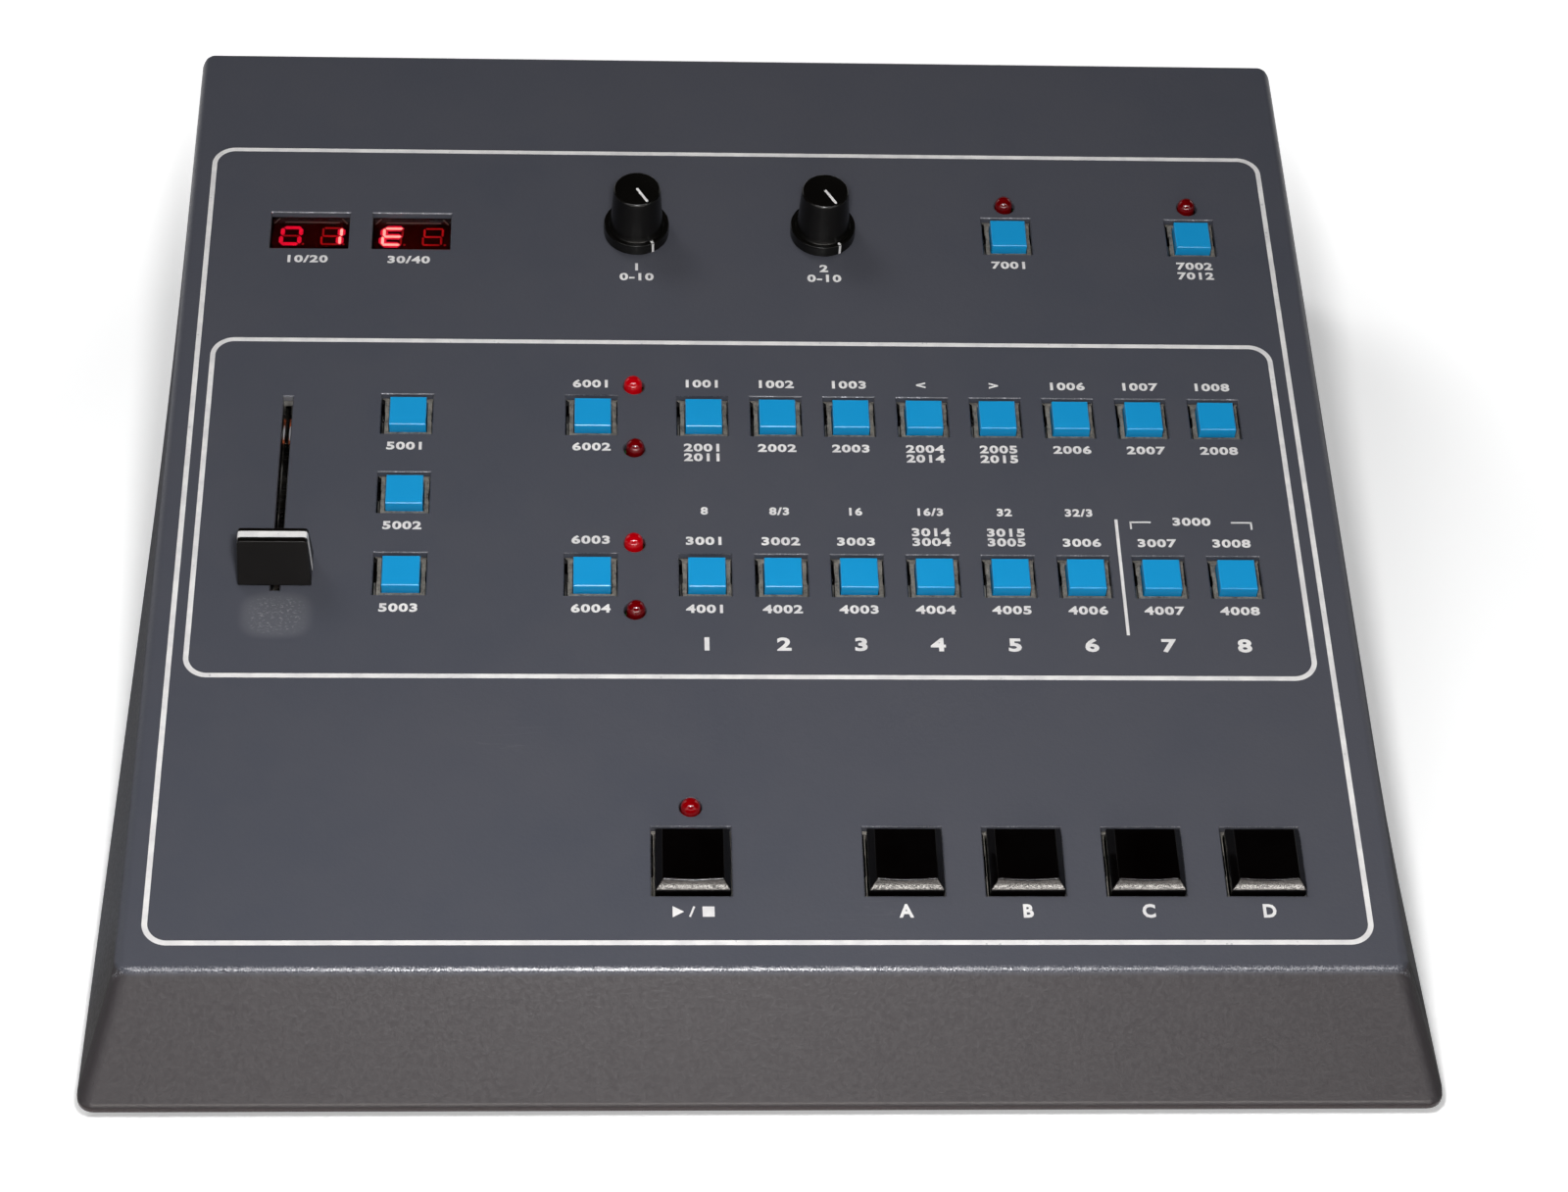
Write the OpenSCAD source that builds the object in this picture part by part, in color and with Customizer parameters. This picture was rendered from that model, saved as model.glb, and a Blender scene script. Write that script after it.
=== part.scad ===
// Drum machine: a wedge-shaped case with a sloping control panel. The panel carries square push
// keys, larger start pads, indicator lamps, two numeric displays, two volume knobs and a slide
// fader. Origin: centre of the footprint, on the surface that the feet stand on. +Y is the back.

/* [Case] */
// Width of the flat control panel, over its side bends
panel_w = 318.5; // [310:0.5:400]
// Length of the control panel up its slope, from the front fold to the back edge
panel_l = 319.6; // [300:0.1:400]
// Slope of the control panel in degrees
panel_tilt = 9; // [4:0.5:14]
// Height of the front fold above the lower edge of the case
fold_h = 28; // [24:0.5:40]
// Distance that the front ramp reaches ahead of the fold
ramp_d = 22; // [14:0.5:34]
// How far each side wall flares out from the panel to the lower edge
flare = 9.75; // [4:0.25:16]
// Wall thickness of the case
wall = 2; // [1.6:0.1:3]
// Radius of the bends round the panel
bend_r = 2.6; // [2.6:0.1:6]
// Radius of the lower corners of the case
corner_r = 6; // [5:0.5:12]
// Height of the upright lip at the lower edge
lip_h = 2; // [1.8:0.1:4]

/* [Layout on the panel] */
// Height of the upper key row above the fold, along the slope
upper_y = 178.6; // [160:0.1:200]
// Height of the lower key row above the fold
lower_y = 122.8; // [100:0.1:135]
// Height of the row of displays, knobs and top keys
top_y = 247.3; // [230:0.1:255]
// Height of the pad row
pad_y = 31.8; // [20:0.1:50]
// Distance between neighbouring keys of a row
key_pitch = 20.32; // [19:0.01:22]
// Place of the first key of each row, across the panel
first_key_x = -13.4; // [-20:0.1:-8]
// Place of the two page keys, across the panel
page_key_x = -43.9; // [-50:0.1:-38]
// Place of the column of three keys, and of the right display above it
left_key_x = -94.5; // [-100:0.1:-86]
// Place of the left one of the two top keys
top_key_x = 75.5; // [70:0.1:90]
// Place of the start pad
start_pad_x = -18.4; // [-30:0.1:-10]
// Place of the first of the four bank pads
bank_pad_x = 35; // [28:0.1:40]
// Distance between neighbouring bank pads
pad_pitch = 30.4; // [26:0.1:31]
// Place of the left knob
left_knob_x = -31.3; // [-40:0.1:-25]
// Distance between the two knobs
knob_pitch = 53.4; // [40:0.1:70]
// Place of the left display
left_display_x = -124.4; // [-130:0.1:-122]
// Place of the fader, across the panel
fader_x = -127.1; // [-132:0.1:-118]
// Height of the middle of the fader's slot above the fold
fader_y = 150.8; // [145:0.1:160]

/* [Keys] */
// Side of a square key cap
key_cap = 10; // [8:0.1:11]
// Side of the square hole round a key
key_hole = 14.2; // [13.6:0.1:15]
// Height of a key's top above the panel
key_rise = 1.4; // [1:0.1:4]
// Travel of a key
key_travel = 2.5; // [1:0.1:3]
// Side of the switch frame under a key
key_frame = 16; // [15.4:0.1:18]
// How far every cap and its switch frame sit to the right of the middle of their hole
cap_shift = 0.35; // [0:0.05:0.35]

/* [Pads] */
// Width of a pad cap
pad_cap = 18.8; // [15:0.1:19.4]
// Length of a pad cap, up the slope
pad_cap_l = 18; // [15:0.1:19.4]
// How far a pad cap and its switch frame sit below the middle of their hole
pad_drop = 0.5; // [0:0.05:0.5]
// Side of the square hole round a pad
pad_hole = 20.2; // [20:0.1:21]
// Height of a pad's top above the panel
pad_rise = 4.2; // [3:0.1:6]
// Width of the bevel round a pad's top
pad_bevel_w = 1.85; // [1:0.05:3]
// Height of the bevel round a pad's top
pad_bevel_h = 2.1; // [1:0.05:2.8]
// Travel of a pad
pad_travel = 2; // [1:0.1:3]
// Side of the switch frame under a pad
pad_frame = 22.4; // [21.4:0.1:24]

/* [Lamps and displays] */
// Radius of a lamp's dome
lamp_r = 2.5; // [1.5:0.1:2.8]
// Gap round a lamp in its hole
lamp_gap = 0.4; // [0.2:0.05:1]
// Distance of a page lamp above or below its key
lamp_offset = 11.35; // [10:0.05:12]
// Distance of a top lamp above its key
top_lamp_offset = 11.4; // [11:0.1:14]
// Distance of the start lamp above the start pad
start_lamp_offset = 16.1; // [15:0.1:20]
// Width of a display window
window_w = 22.4; // [18:0.1:24]
// Height of a display window
window_h = 13.9; // [12:0.1:18]
// Width of a display module
display_w = 25; // [24.4:0.1:27]
// Height of a display module
display_h = 17; // [16:0.1:19]
// Thickness of the red filter behind the windows
filter_t = 0.8; // [0.5:0.1:1.5]

/* [Knobs] */
// Height of a knob's top above the panel
knob_h = 18.2; // [14:0.1:24]
// Radius of a knob's top
knob_top_r = 6.6; // [5.5:0.1:8]
// Radius of a knob's grip where it meets the skirt
knob_grip_r = 7.35; // [6.8:0.05:8.8]
// Radius of a knob's skirt
knob_skirt_r = 9.3; // [9:0.1:12]
// Height of a knob's skirt
knob_skirt_h = 4; // [3:0.1:6]
// Radius of a potentiometer's shaft
shaft_r = 3; // [2:0.05:3.2]
// Radius of a potentiometer's threaded bush
bush_r = 3.6; // [3.5:0.05:3.9]
// Side of a potentiometer's body
pot_side = 17; // [16:0.5:20]

/* [Fader] */
// Travel of the fader
fader_travel = 60; // [40:0.5:62]
// Distance of the fader from the front end of its travel
fader_rest = 2.7; // [0:0.1:20]
// Length of the fader's slot
slot_l = 67.6; // [67:0.1:74]
// Width of the fader's slot
slot_w = 2.6; // [2.4:0.1:4]
// Width of the fader's cap, across the slot
fader_cap_w = 18.8; // [12:0.1:24]
// Depth of the fader's cap at its foot
fader_cap_d = 11.4; // [9:0.1:14]
// Depth of the fader's cap at its top
fader_cap_top_d = 4.6; // [3:0.1:8]
// Height of the fader cap's top above the panel
fader_cap_h = 15.2; // [12:0.1:18]

/* [Inside] */
// Length of the spacers that hold the control board under the panel
pillar_h = 8.5; // [8.5:0.1:12]
// Thickness of both circuit boards
board_t = 1.6; // [1:0.1:2]
// Length of the spacers under the main board
low_pillar_h = 6; // [4:0.5:8]
// Thickness of the sheet that the base pan is folded from
pan_t = 1.2; // [0.8:0.1:1.5]

/* [Back] */
// Number of output jacks
jack_count = 8; // [2:1:8]
// Distance between neighbouring output jacks
jack_pitch = 21; // [19:0.5:22]
// Radius of the plug hole in an output jack
jack_bore_r = 3.2; // [3.2:0.05:3.3]
// Height of the jacks, the inlet and the power switch above the lower edge of the case
jack_h = 32; // [28:0.5:36]

/* [Feet] */
// Height of the rubber feet
foot_h = 5; // [4.5:0.5:12]
// Radius of a rubber foot
foot_r = 9; // [7:0.5:14]
// Distance of the feet from the side edges of the case
foot_inset_x = 44; // [30:1:60]
// Distance of the feet from the front and back edges of the case
foot_inset_y = 38; // [30:1:60]

/* [Hidden] */
$fn = 48;
hull_fn = 24;          // facets of the case's rounded edges
cut = 1;               // how far a cut runs past a face
guide_gap = 0.3;       // clearance round a cap in its switch frame
seat_gap = 0.3;        // clearance between a fixed piece and the panel above it
face_gap = 0.05;       // what a piece pressed to the panel's underside stays off it
run_gap = 0.05;        // radial running clearance of a shaft in its bush

case_w = panel_w + 2 * flare;
case_d = ramp_d + panel_l * cos(panel_tilt);
fold_y = ramp_d - case_d / 2;
base_z = foot_h;
fold_z = base_z + fold_h;
back_y = case_d / 2;
back_z = fold_z + panel_l * sin(panel_tilt);

under_z = -wall;                       // heights above the panel's face, in the panel's own frame
frame_top_z = under_z - seat_gap;
board_top_z = under_z - pillar_h;
board_low_z = board_top_z - board_t;
frame_floor = 1;

board_edge = 11;                       // margin of the control board inside the panel
board_w = panel_w - 2 * board_edge;
board_y0 = 14;
board_y1 = top_y + 21;
pillar_r = 3.4;
pillar_xs = [-board_w / 2 + 5, -62, board_w / 2 - 5];
pillar_ys = [pad_y + 28.5, board_y1 - 6];

m3_r = 1.4;
m3_hole_r = 1.6;
m3_head_r = 2.75;
m3_head_h = 2;
m3_l = 6;
m4_r = 1.9;
m4_hole_r = 2.2;
m4_head_r = 3.5;
m4_head_h = 2.2;
m4_l = 11;

row_keys = [for (i = [0:7]) first_key_x + i * key_pitch];
column_ys = [upper_y, (upper_y + lower_y) / 2, lower_y];
top_key_xs = [top_key_x, row_keys[7]];
top_key_y = top_y + 0.2;
knob_xs = [left_knob_x, left_knob_x + knob_pitch];
bank_xs = [for (i = [0:3]) bank_pad_x + i * pad_pitch];
display_xs = [left_display_x, left_key_x - 1];
lamp_x = page_key_x + 11.7;
lamp_drop = 0.75;                      // how far a pair of page lamps sits below its key's middle
lamp_hole_r = lamp_r + lamp_gap;

// Every key's name and place, so that the case, the frames and the caps share them
key_names = concat(
    [for (i = [1:8]) str("key_upper_", i)],
    [for (i = [1:8]) str("key_lower_", i)],
    [for (i = [1:3]) str("key_left_", i)],
    [for (i = [1:2]) str("key_page_", i)],
    [for (i = [1:2]) str("key_top_", i)]);
key_places = concat(
    [for (x = row_keys) [x, upper_y]],
    [for (x = row_keys) [x, lower_y]],
    [for (y = column_ys) [left_key_x, y]],
    [for (y = [upper_y, lower_y]) [page_key_x, y]],
    [for (x = top_key_xs) [x, top_key_y]]);
pad_names = concat(["pad_start"], [for (i = [1:4]) str("pad_bank_", i)]);
pad_places = concat([[start_pad_x, pad_y]], [for (x = bank_xs) [x, pad_y]]);
page_lamp_places = [for (y = [upper_y, lower_y], s = [1, -1])
    [lamp_x, y - lamp_drop + s * lamp_offset]];
lamp_places = concat(
    [for (x = top_key_xs) [x, top_key_y + top_lamp_offset]],
    page_lamp_places,
    [[start_pad_x, pad_y + start_lamp_offset]]);

nut_r = 5.6;                           // hexagon nut of a potentiometer, over its corners
nut_t = 1.8;
bush_top_z = 4.6;
pot_depth = pillar_h - seat_gap;       // how far a potentiometer reaches below the panel
knob_foot_z = 0.6;                     // gap under a knob
knob_hollow_r = 6.1;
knob_hollow_z = 5.2;
knob_round = 0.6;
shaft_top_z = knob_h - 3;

fader_body_w = 9.6;
fader_body_l = fader_travel + 28;
fader_skin = 0.8;
fader_run = 0.3;                       // running clearance of the carriage in its body
lever_w = 1.2;
lever_d = 4;
carriage_d = 8;
carriage_h = 4;
carriage_y = fader_y - fader_travel / 2 + fader_rest;
fader_cap_z = 1;                       // height of the cap's foot above the panel

pan_gap = 0.4;                         // clearance of the base pan inside the case
pan_w = case_w - 2 * (wall + pan_gap);
pan_d = case_d - 2 * (wall + pan_gap);
pan_top_z = base_z + pan_t;
rear_face_y = case_d / 2 - wall - pan_gap;
rear_in_y = rear_face_y - pan_t;
rear_h = 56;
post_r = 5;
post_x = case_w / 2 - 14;
post_ys = [-case_d / 2 + 20, 0, case_d / 2 - 17.5];
rear_w = 2 * (post_x - post_r - 4);
opening_w = rear_w - 12;
opening_z0 = base_z + 8;
opening_z1 = base_z + rear_h - 5;
foot_x = case_w / 2 - foot_inset_x;
foot_y = case_d / 2 - foot_inset_y;
foot_recess_h = 3;
foot_recess_r = 4.4;
foot_boss_r = 4.5;
foot_boss_h = 5;

jack_z = base_z + jack_h;
jack_x0 = -opening_w / 2 + 14;
jack_bush_r = 4.7;
jack_nut_r = 7;
jack_nut_t = 2;
jack_body = [14, 26, 17];
jack_bore_l = 26;
inlet_x = opening_w / 2 - 34;
inlet_ear = 20;                        // half the distance between the inlet's two screws
inlet_flange = [50, 2, 23];
inlet_body = [27, 22, 19.4];
inlet_hollow = [24, 18.5, 16.4];
switch_x = inlet_x - 48;
switch_flange = [23, 1.6, 17];
switch_body = [18.8, 18, 13];
rocker_r = 9;
rocker_w = 11.6;
rocker_tilt = 9;
rocker_y = rear_face_y - 5.5;
rocker_pin_r = 1.2;
rocker_pin_l = 1.4;                    // how far each stub pin stands out of the rocker

main_board_x0 = -140;                  // left edge of the main board
main_board_w = 205;
main_board_y0 = -72;
main_board_d = 168;
main_board_z = pan_top_z + low_pillar_h;
main_top_z = main_board_z + board_t;
main_pillars = [for (x = [6, main_board_w - 6], y = [6, main_board_d - 6])
    [main_board_x0 + x, main_board_y0 + y]];

// Where the cap over the hole at place sits
function cap_place(place) = [place[0] + cap_shift, place[1]];
function pad_place(place) = cap_place(place) - [0, pad_drop];

// Places its children on the panel: x across, y up the slope from the fold, z out of the face
module on_panel(place = [0, 0], z = 0) {
    translate([0, fold_y, fold_z]) rotate([panel_tilt, 0, 0])
        translate([place[0], place[1], z]) children();
}

// A block centred on x and y, standing on z = 0
module block(size) {
    translate([-size[0] / 2, -size[1] / 2, 0]) cube(size);
}

// A flat plate with round corners, centred, standing on z = 0
module round_plate(w, d, r, t) {
    block([w - 2 * r, d, t]);
    block([w, d - 2 * r, t]);
    for (sx = [-1, 1], sy = [-1, 1])
        translate([sx * (w / 2 - r), sy * (d / 2 - r), 0]) cylinder(r = r, h = t);
}

// A pan-head screw, head below z = 0 and thread above it
module screw(head_r, head_h, r, l) {
    translate([0, 0, -head_h]) cylinder(r = head_r, h = head_h);
    cylinder(r = r, h = l);
}

// The case's outer form, taken in by inset, with its lower end let down by drop. Each bend is
// a ball that touches both faces it joins, so that insetting it keeps the wall's thickness.
module case_form(inset, drop) {
    ramp_a = 180 + atan2(fold_h - lip_h, ramp_d);
    half_f = (panel_tilt + 360 - ramp_a) / 2;
    dir_f = panel_tilt - half_f;
    half_b = (90 - panel_tilt) / 2;
    dir_b = 180 + panel_tilt + half_b;
    bends = [
        [fold_y + bend_r / sin(half_f) * cos(dir_f), fold_z + bend_r / sin(half_f) * sin(dir_f)],
        [back_y + bend_r / sin(half_b) * cos(dir_b), back_z + bend_r / sin(half_b) * sin(dir_b)]];
    hull() {
        for (sx = [-1, 1], sy = [-1, 1])
            translate([sx * (case_w / 2 - corner_r), sy * (case_d / 2 - corner_r), base_z - drop])
                cylinder(r = corner_r - inset, h = lip_h + drop, $fn = hull_fn);
        for (sx = [-1, 1], b = bends)
            translate([sx * (panel_w / 2 - bend_r), b[0], b[1]])
                sphere(r = bend_r - inset, $fn = hull_fn);
    }
}

module panel_cuts() {
    deep = wall + 2 * cut;
    for (p = key_places)
        on_panel(p, under_z - cut) block([key_hole, key_hole, deep]);
    for (p = pad_places)
        on_panel(p, under_z - cut) block([pad_hole, pad_hole, deep]);
    for (p = lamp_places)
        on_panel(p, under_z - cut) cylinder(r = lamp_hole_r, h = deep);
    for (x = display_xs)
        on_panel([x, top_y], under_z - cut) block([window_w, window_h, deep]);
    for (x = knob_xs)
        on_panel([x, top_y], under_z - cut) cylinder(r = bush_r + guide_gap, h = deep);
    on_panel([fader_x, fader_y], under_z - cut) block([slot_w, slot_l, deep]);
}

module top_cover() {
    color([0.28, 0.29, 0.33]) difference() {
        union() {
            difference() {
                case_form(0, 0);
                case_form(wall, cut);
            }
            intersection() {
                case_form(wall / 2, 0);
                for (sx = [-1, 1], y = post_ys)
                    translate([sx * post_x, y, pan_top_z]) cylinder(r = post_r, h = back_z);
            }
        }
        panel_cuts();
        translate([-opening_w / 2, case_d / 2 - wall - cut, opening_z0])
            cube([opening_w, wall + 2 * cut, opening_z1 - opening_z0]);
        for (sx = [-1, 1], y = post_ys)
            translate([sx * post_x, y, pan_top_z - cut]) cylinder(r = m4_r + 0.1, h = m4_l + cut);
    }
}

module base_pan() {
    color([0.2, 0.2, 0.22]) difference() {
        union() {
            translate([0, 0, base_z]) round_plate(pan_w, pan_d, corner_r - wall, pan_t);
            translate([-rear_w / 2, rear_in_y, base_z]) cube([rear_w, pan_t, rear_h]);
            for (sx = [-1, 1], sy = [-1, 1])
                translate([sx * foot_x, sy * foot_y, base_z])
                    cylinder(r = foot_boss_r, h = pan_t + foot_boss_h);
        }
        for (sx = [-1, 1], y = post_ys)
            translate([sx * post_x, y, base_z - cut]) cylinder(r = m4_hole_r, h = pan_t + 2 * cut);
        for (sx = [-1, 1], sy = [-1, 1])
            translate([sx * foot_x, sy * foot_y, base_z - cut])
                cylinder(r = m4_r + 0.1, h = pan_t + foot_boss_h + 2 * cut);
        for (i = [0:jack_count - 1])
            translate([jack_x0 + i * jack_pitch, rear_in_y - cut, jack_z]) rotate([-90, 0, 0])
                cylinder(r = jack_bush_r + 0.1, h = pan_t + 2 * cut);
        translate([inlet_x, rear_face_y, jack_z]) {
            cut_back([inlet_body[0] + 0.4, pan_t + cut, inlet_body[2] + 0.4]);
            for (sx = [-1, 1])
                translate([sx * inlet_ear, cut, 0]) rotate([90, 0, 0])
                    cylinder(r = m3_hole_r, h = pan_t + 2 * cut);
        }
        translate([switch_x, rear_face_y, jack_z])
            cut_back([switch_body[0] + 0.4, pan_t + cut, switch_body[2] + 0.4]);
    }
}

// A block centred on x and z that reaches forwards from y = 1 into the case
module cut_back(size) {
    translate([-size[0] / 2, -size[1], -size[2] / 2]) cube([size[0], size[1] + cut, size[2]]);
}

// A block centred on x and z whose outer face is at y = 0
module back_block(size) {
    translate([-size[0] / 2, -size[1], -size[2] / 2]) cube(size);
}

module feet() {
    color([0.06, 0.06, 0.06]) for (sx = [-1, 1], sy = [-1, 1])
        translate([sx * foot_x, sy * foot_y, 0]) difference() {
            rotate_extrude() polygon([[0, 0], [foot_r - 1, 0], [foot_r, foot_h], [0, foot_h]]);
            translate([0, 0, -cut]) cylinder(r = m4_hole_r, h = foot_h + 2 * cut);
            translate([0, 0, -cut]) cylinder(r = foot_recess_r, h = foot_recess_h + cut);
        }
}

module case_screws() {
    color([0.5, 0.5, 0.52]) {
        for (sx = [-1, 1], y = post_ys)
            translate([sx * post_x, y, base_z]) screw(m4_head_r, m4_head_h, m4_r, m4_l);
        for (sx = [-1, 1], sy = [-1, 1])
            translate([sx * foot_x, sy * foot_y, foot_recess_h])
                screw(m4_head_r, m4_head_h, m4_r, m4_l - 3);
    }
}

// A moulded switch frame that stands on the control board, with a square well for its cap
module switch_frame(side, cap_side) {
    well = cap_side + 2 * guide_gap;
    tall = frame_top_z - board_top_z;
    notch = side - well - 1;
    translate([0, 0, board_top_z]) difference() {
        block([side, side, tall]);
        translate([0, 0, frame_floor]) block([well, well, tall]);
        for (sx = [-1, 1])
            translate([sx * well / 2, 0, tall - 1]) block([notch, side / 5, tall]);
    }
}

module key_switches() {
    color([0.4, 0.39, 0.38]) for (p = key_places)
        on_panel(cap_place(p)) switch_frame(key_frame, key_cap);
}

module pad_switches() {
    color([0.4, 0.39, 0.38]) for (p = pad_places)
        on_panel(pad_place(p)) switch_frame(pad_frame, pad_cap);
}

// A key cap with its plunger, square, open to the well of its switch frame
module key(place) {
    foot_z = board_top_z + frame_floor + key_travel + 0.4;
    color([0.1, 0.5, 0.78]) on_panel(cap_place(place), foot_z)
        block([key_cap, key_cap, key_rise - foot_z]);
}

// A pad cap with a bevel round its top, cut by four slanting faces
module pad(place) {
    foot_z = board_top_z + frame_floor + pad_travel + 0.4;
    bevel_z = pad_rise - pad_bevel_h;
    color([0.05, 0.05, 0.06]) on_panel(pad_place(place)) difference() {
        translate([0, 0, foot_z]) block([pad_cap, pad_cap_l, pad_rise - foot_z]);
        for (a = [0:90:270]) {
            half = (a % 180 == 0 ? pad_cap : pad_cap_l) / 2;
            rotate([0, 0, a]) rotate([90, 0, 0]) translate([0, 0, -pad_cap])
                linear_extrude(2 * pad_cap) polygon([[half, bevel_z], [half + cut, bevel_z],
                    [half + cut, pad_rise + cut], [half - pad_bevel_w, pad_rise + cut],
                    [half - pad_bevel_w, pad_rise]]);
        }
    }
}

module indicator_lamps() {
    dome_z = 0.2;
    flange_z = board_top_z + 3.5;
    color([0.6, 0.03, 0.05]) for (p = lamp_places) on_panel(p) {
        translate([0, 0, dome_z]) intersection() {
            sphere(r = lamp_r);
            translate([0, 0, -0.1]) cylinder(r = 2 * lamp_r, h = 2 * lamp_r);
        }
        translate([0, 0, flange_z]) cylinder(r = lamp_r, h = dome_z - flange_z);
        translate([0, 0, flange_z]) cylinder(r = lamp_r + 0.4, h = 1);
        for (s = [-1, 1])
            translate([s * 1.27, 0, board_top_z]) cylinder(r = 0.3, h = flange_z - board_top_z + 0.5);
    }
}

module display_modules() {
    top_z = under_z - face_gap - filter_t - seat_gap;
    color([0.1, 0.02, 0.02]) for (x = display_xs)
        on_panel([x, top_y], board_top_z) block([display_w, display_h, top_z - board_top_z]);
}

module display_filter() {
    side = 2.5;
    span = display_xs[1] - display_xs[0] + window_w + 2 * side;
    middle = (display_xs[0] + display_xs[1]) / 2;
    color([0.35, 0.01, 0.02]) on_panel([middle, top_y], under_z - face_gap - filter_t)
        block([span, window_h + 2 * side, filter_t]);
}

module control_board() {
    color([0.1, 0.3, 0.14]) difference() {
        on_panel([0, (board_y0 + board_y1) / 2], board_low_z)
            block([board_w, board_y1 - board_y0, board_t]);
        for (x = pillar_xs, y = pillar_ys)
            on_panel([x, y], board_low_z - cut) cylinder(r = m3_hole_r, h = board_t + 2 * cut);
    }
}

// A hexagon spacer with a hole right through it
module spacer(h) {
    difference() {
        cylinder(r = pillar_r, h = h, $fn = 6);
        translate([0, 0, -cut]) cylinder(r = m3_r + 0.05, h = h + 2 * cut);
    }
}

module board_pillars() {
    color([0.72, 0.6, 0.3]) {
        for (x = pillar_xs, y = pillar_ys)
            on_panel([x, y], board_top_z) spacer(pillar_h);
        for (p = main_pillars)
            translate([p[0], p[1], pan_top_z]) spacer(low_pillar_h);
    }
}

module small_screws() {
    color([0.6, 0.6, 0.62]) {
        for (x = pillar_xs, y = pillar_ys)
            on_panel([x, y], board_low_z) screw(m3_head_r, m3_head_h, m3_r, m3_l);
        for (p = main_pillars)
            translate([p[0], p[1], main_top_z]) rotate([180, 0, 0])
                screw(m3_head_r, m3_head_h, m3_r, m3_l);
        for (sx = [-1, 1])
            translate([inlet_x + sx * inlet_ear, rear_face_y + 0.8, jack_z]) rotate([90, 0, 0])
                screw(m3_head_r, 1.2, m3_r, m3_l);
    }
}

// Each potentiometer: a square body under the panel and a threaded bush through it
module volume_pots() {
    color([0.55, 0.55, 0.58]) for (x = knob_xs) on_panel([x, top_y], under_z) difference() {
        union() {
            translate([0, 0, -pot_depth]) block([pot_side, pot_side, pot_depth - face_gap]);
            translate([0, 0, -pot_depth / 2])
                cylinder(r = bush_r, h = pot_depth / 2 + bush_top_z - under_z);
        }
        translate([0, 0, 1 - pot_depth])
            cylinder(r = shaft_r + run_gap, h = pot_depth + bush_top_z - under_z);
    }
}

module pot_nuts() {
    color([0.7, 0.7, 0.72]) for (x = knob_xs) on_panel([x, top_y]) difference() {
        cylinder(r = nut_r, h = nut_t, $fn = 6);
        translate([0, 0, -cut]) cylinder(r = bush_r + 0.05, h = nut_t + 2 * cut);
    }
}

module shaft(x) {
    foot_z = under_z - pot_depth + 1.2;
    color([0.75, 0.75, 0.77]) on_panel([x, top_y], foot_z)
        cylinder(r = shaft_r, h = shaft_top_z - foot_z);
}

// A skirted knob, turned to one profile, hollow over the bush and its nut
module knob(x) {
    skirt_z = knob_foot_z + knob_skirt_h;
    profile = [[0, knob_foot_z], [knob_skirt_r, knob_foot_z],
        [knob_skirt_r, skirt_z - 1], [knob_skirt_r - 0.6, skirt_z - 0.3],
        [knob_grip_r, skirt_z + 0.2],
        [knob_top_r, knob_h - knob_round], [knob_top_r - knob_round, knob_h], [0, knob_h]];
    color([0.04, 0.04, 0.045]) on_panel([x, top_y]) difference() {
        rotate_extrude() polygon(profile);
        cylinder(r = knob_hollow_r, h = knob_hollow_z);
        cylinder(r = shaft_r + run_gap, h = shaft_top_z + 0.3);
    }
}

module fader_body() {
    tall = pillar_h - seat_gap - face_gap;
    color([0.65, 0.65, 0.67]) on_panel([fader_x, fader_y], board_top_z + seat_gap) difference() {
        block([fader_body_w, fader_body_l, tall]);
        translate([0, 0, fader_skin])
            block([fader_body_w - 2 * fader_skin, fader_body_l - 2 * fader_skin,
                tall - 2 * fader_skin]);
        translate([0, 0, tall / 2]) block([slot_w, slot_l, tall]);
    }
}

module fader_carriage() {
    low_z = board_top_z + seat_gap + fader_skin + fader_run;
    color([0.75, 0.5, 0.25]) on_panel([fader_x, carriage_y], low_z) {
        block([fader_body_w - 2 * fader_skin - 2 * fader_run, carriage_d, carriage_h]);
        block([lever_w, lever_d, fader_cap_h - 5 - low_z]);
    }
}

// The fader's wedge-shaped finger cap, with a pocket for its lever
module fader_cap() {
    foot = fader_cap_d / 2;
    top = fader_cap_top_d / 2;
    side = [[-foot, fader_cap_z], [foot, fader_cap_z], [top, fader_cap_h], [-top, fader_cap_h]];
    color([0.05, 0.05, 0.05]) on_panel([fader_x, carriage_y]) difference() {
        translate([-fader_cap_w / 2, 0, 0]) rotate([90, 0, 90])
            linear_extrude(fader_cap_w) polygon(side);
        block([lever_w + 0.1, lever_d + 0.1, fader_cap_h - 4.9]);
    }
}

module main_board() {
    color([0.1, 0.3, 0.14]) difference() {
        translate([main_board_x0, main_board_y0, main_board_z])
            cube([main_board_w, main_board_d, board_t]);
        for (p = main_pillars)
            translate([p[0], p[1], main_board_z - cut])
                cylinder(r = m3_hole_r, h = board_t + 2 * cut);
    }
}

// Rows of chips: each a moulded body that stands on two strips of legs
module main_chips() {
    chip = [36, 14, 4];
    rows = 4;
    columns = 4;
    color([0.08, 0.08, 0.08]) for (i = [0:columns - 1], j = [0:rows - 1])
        translate([main_board_x0 + 30 + i * 42, main_board_y0 + 24 + j * 28, main_top_z]) {
            translate([0, 0, 0.6]) block(chip);
            for (s = [-1, 1])
                translate([0, s * (chip[1] / 2 - 0.3), 0]) block([chip[0] - 2, 0.6, 1]);
        }
}

module power_transformer() {
    core = [50, 44, 34];
    color([0.3, 0.3, 0.32]) translate([case_w / 2 - 62, case_d / 2 - 66, pan_top_z]) {
        block([66, 22, 2]);
        block([core[0], core[1] / 2, core[2]]);
        translate([0, 0, 4]) block([core[0] - 16, core[1], core[2] - 8]);
    }
}

module filter_capacitors() {
    color([0.12, 0.14, 0.3]) for (i = [0:1])
        translate([main_board_x0 + main_board_w - 16, main_board_y0 + main_board_d - 52 + i * 26,
            main_top_z]) cylinder(r = 11, h = 28);
}

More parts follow.
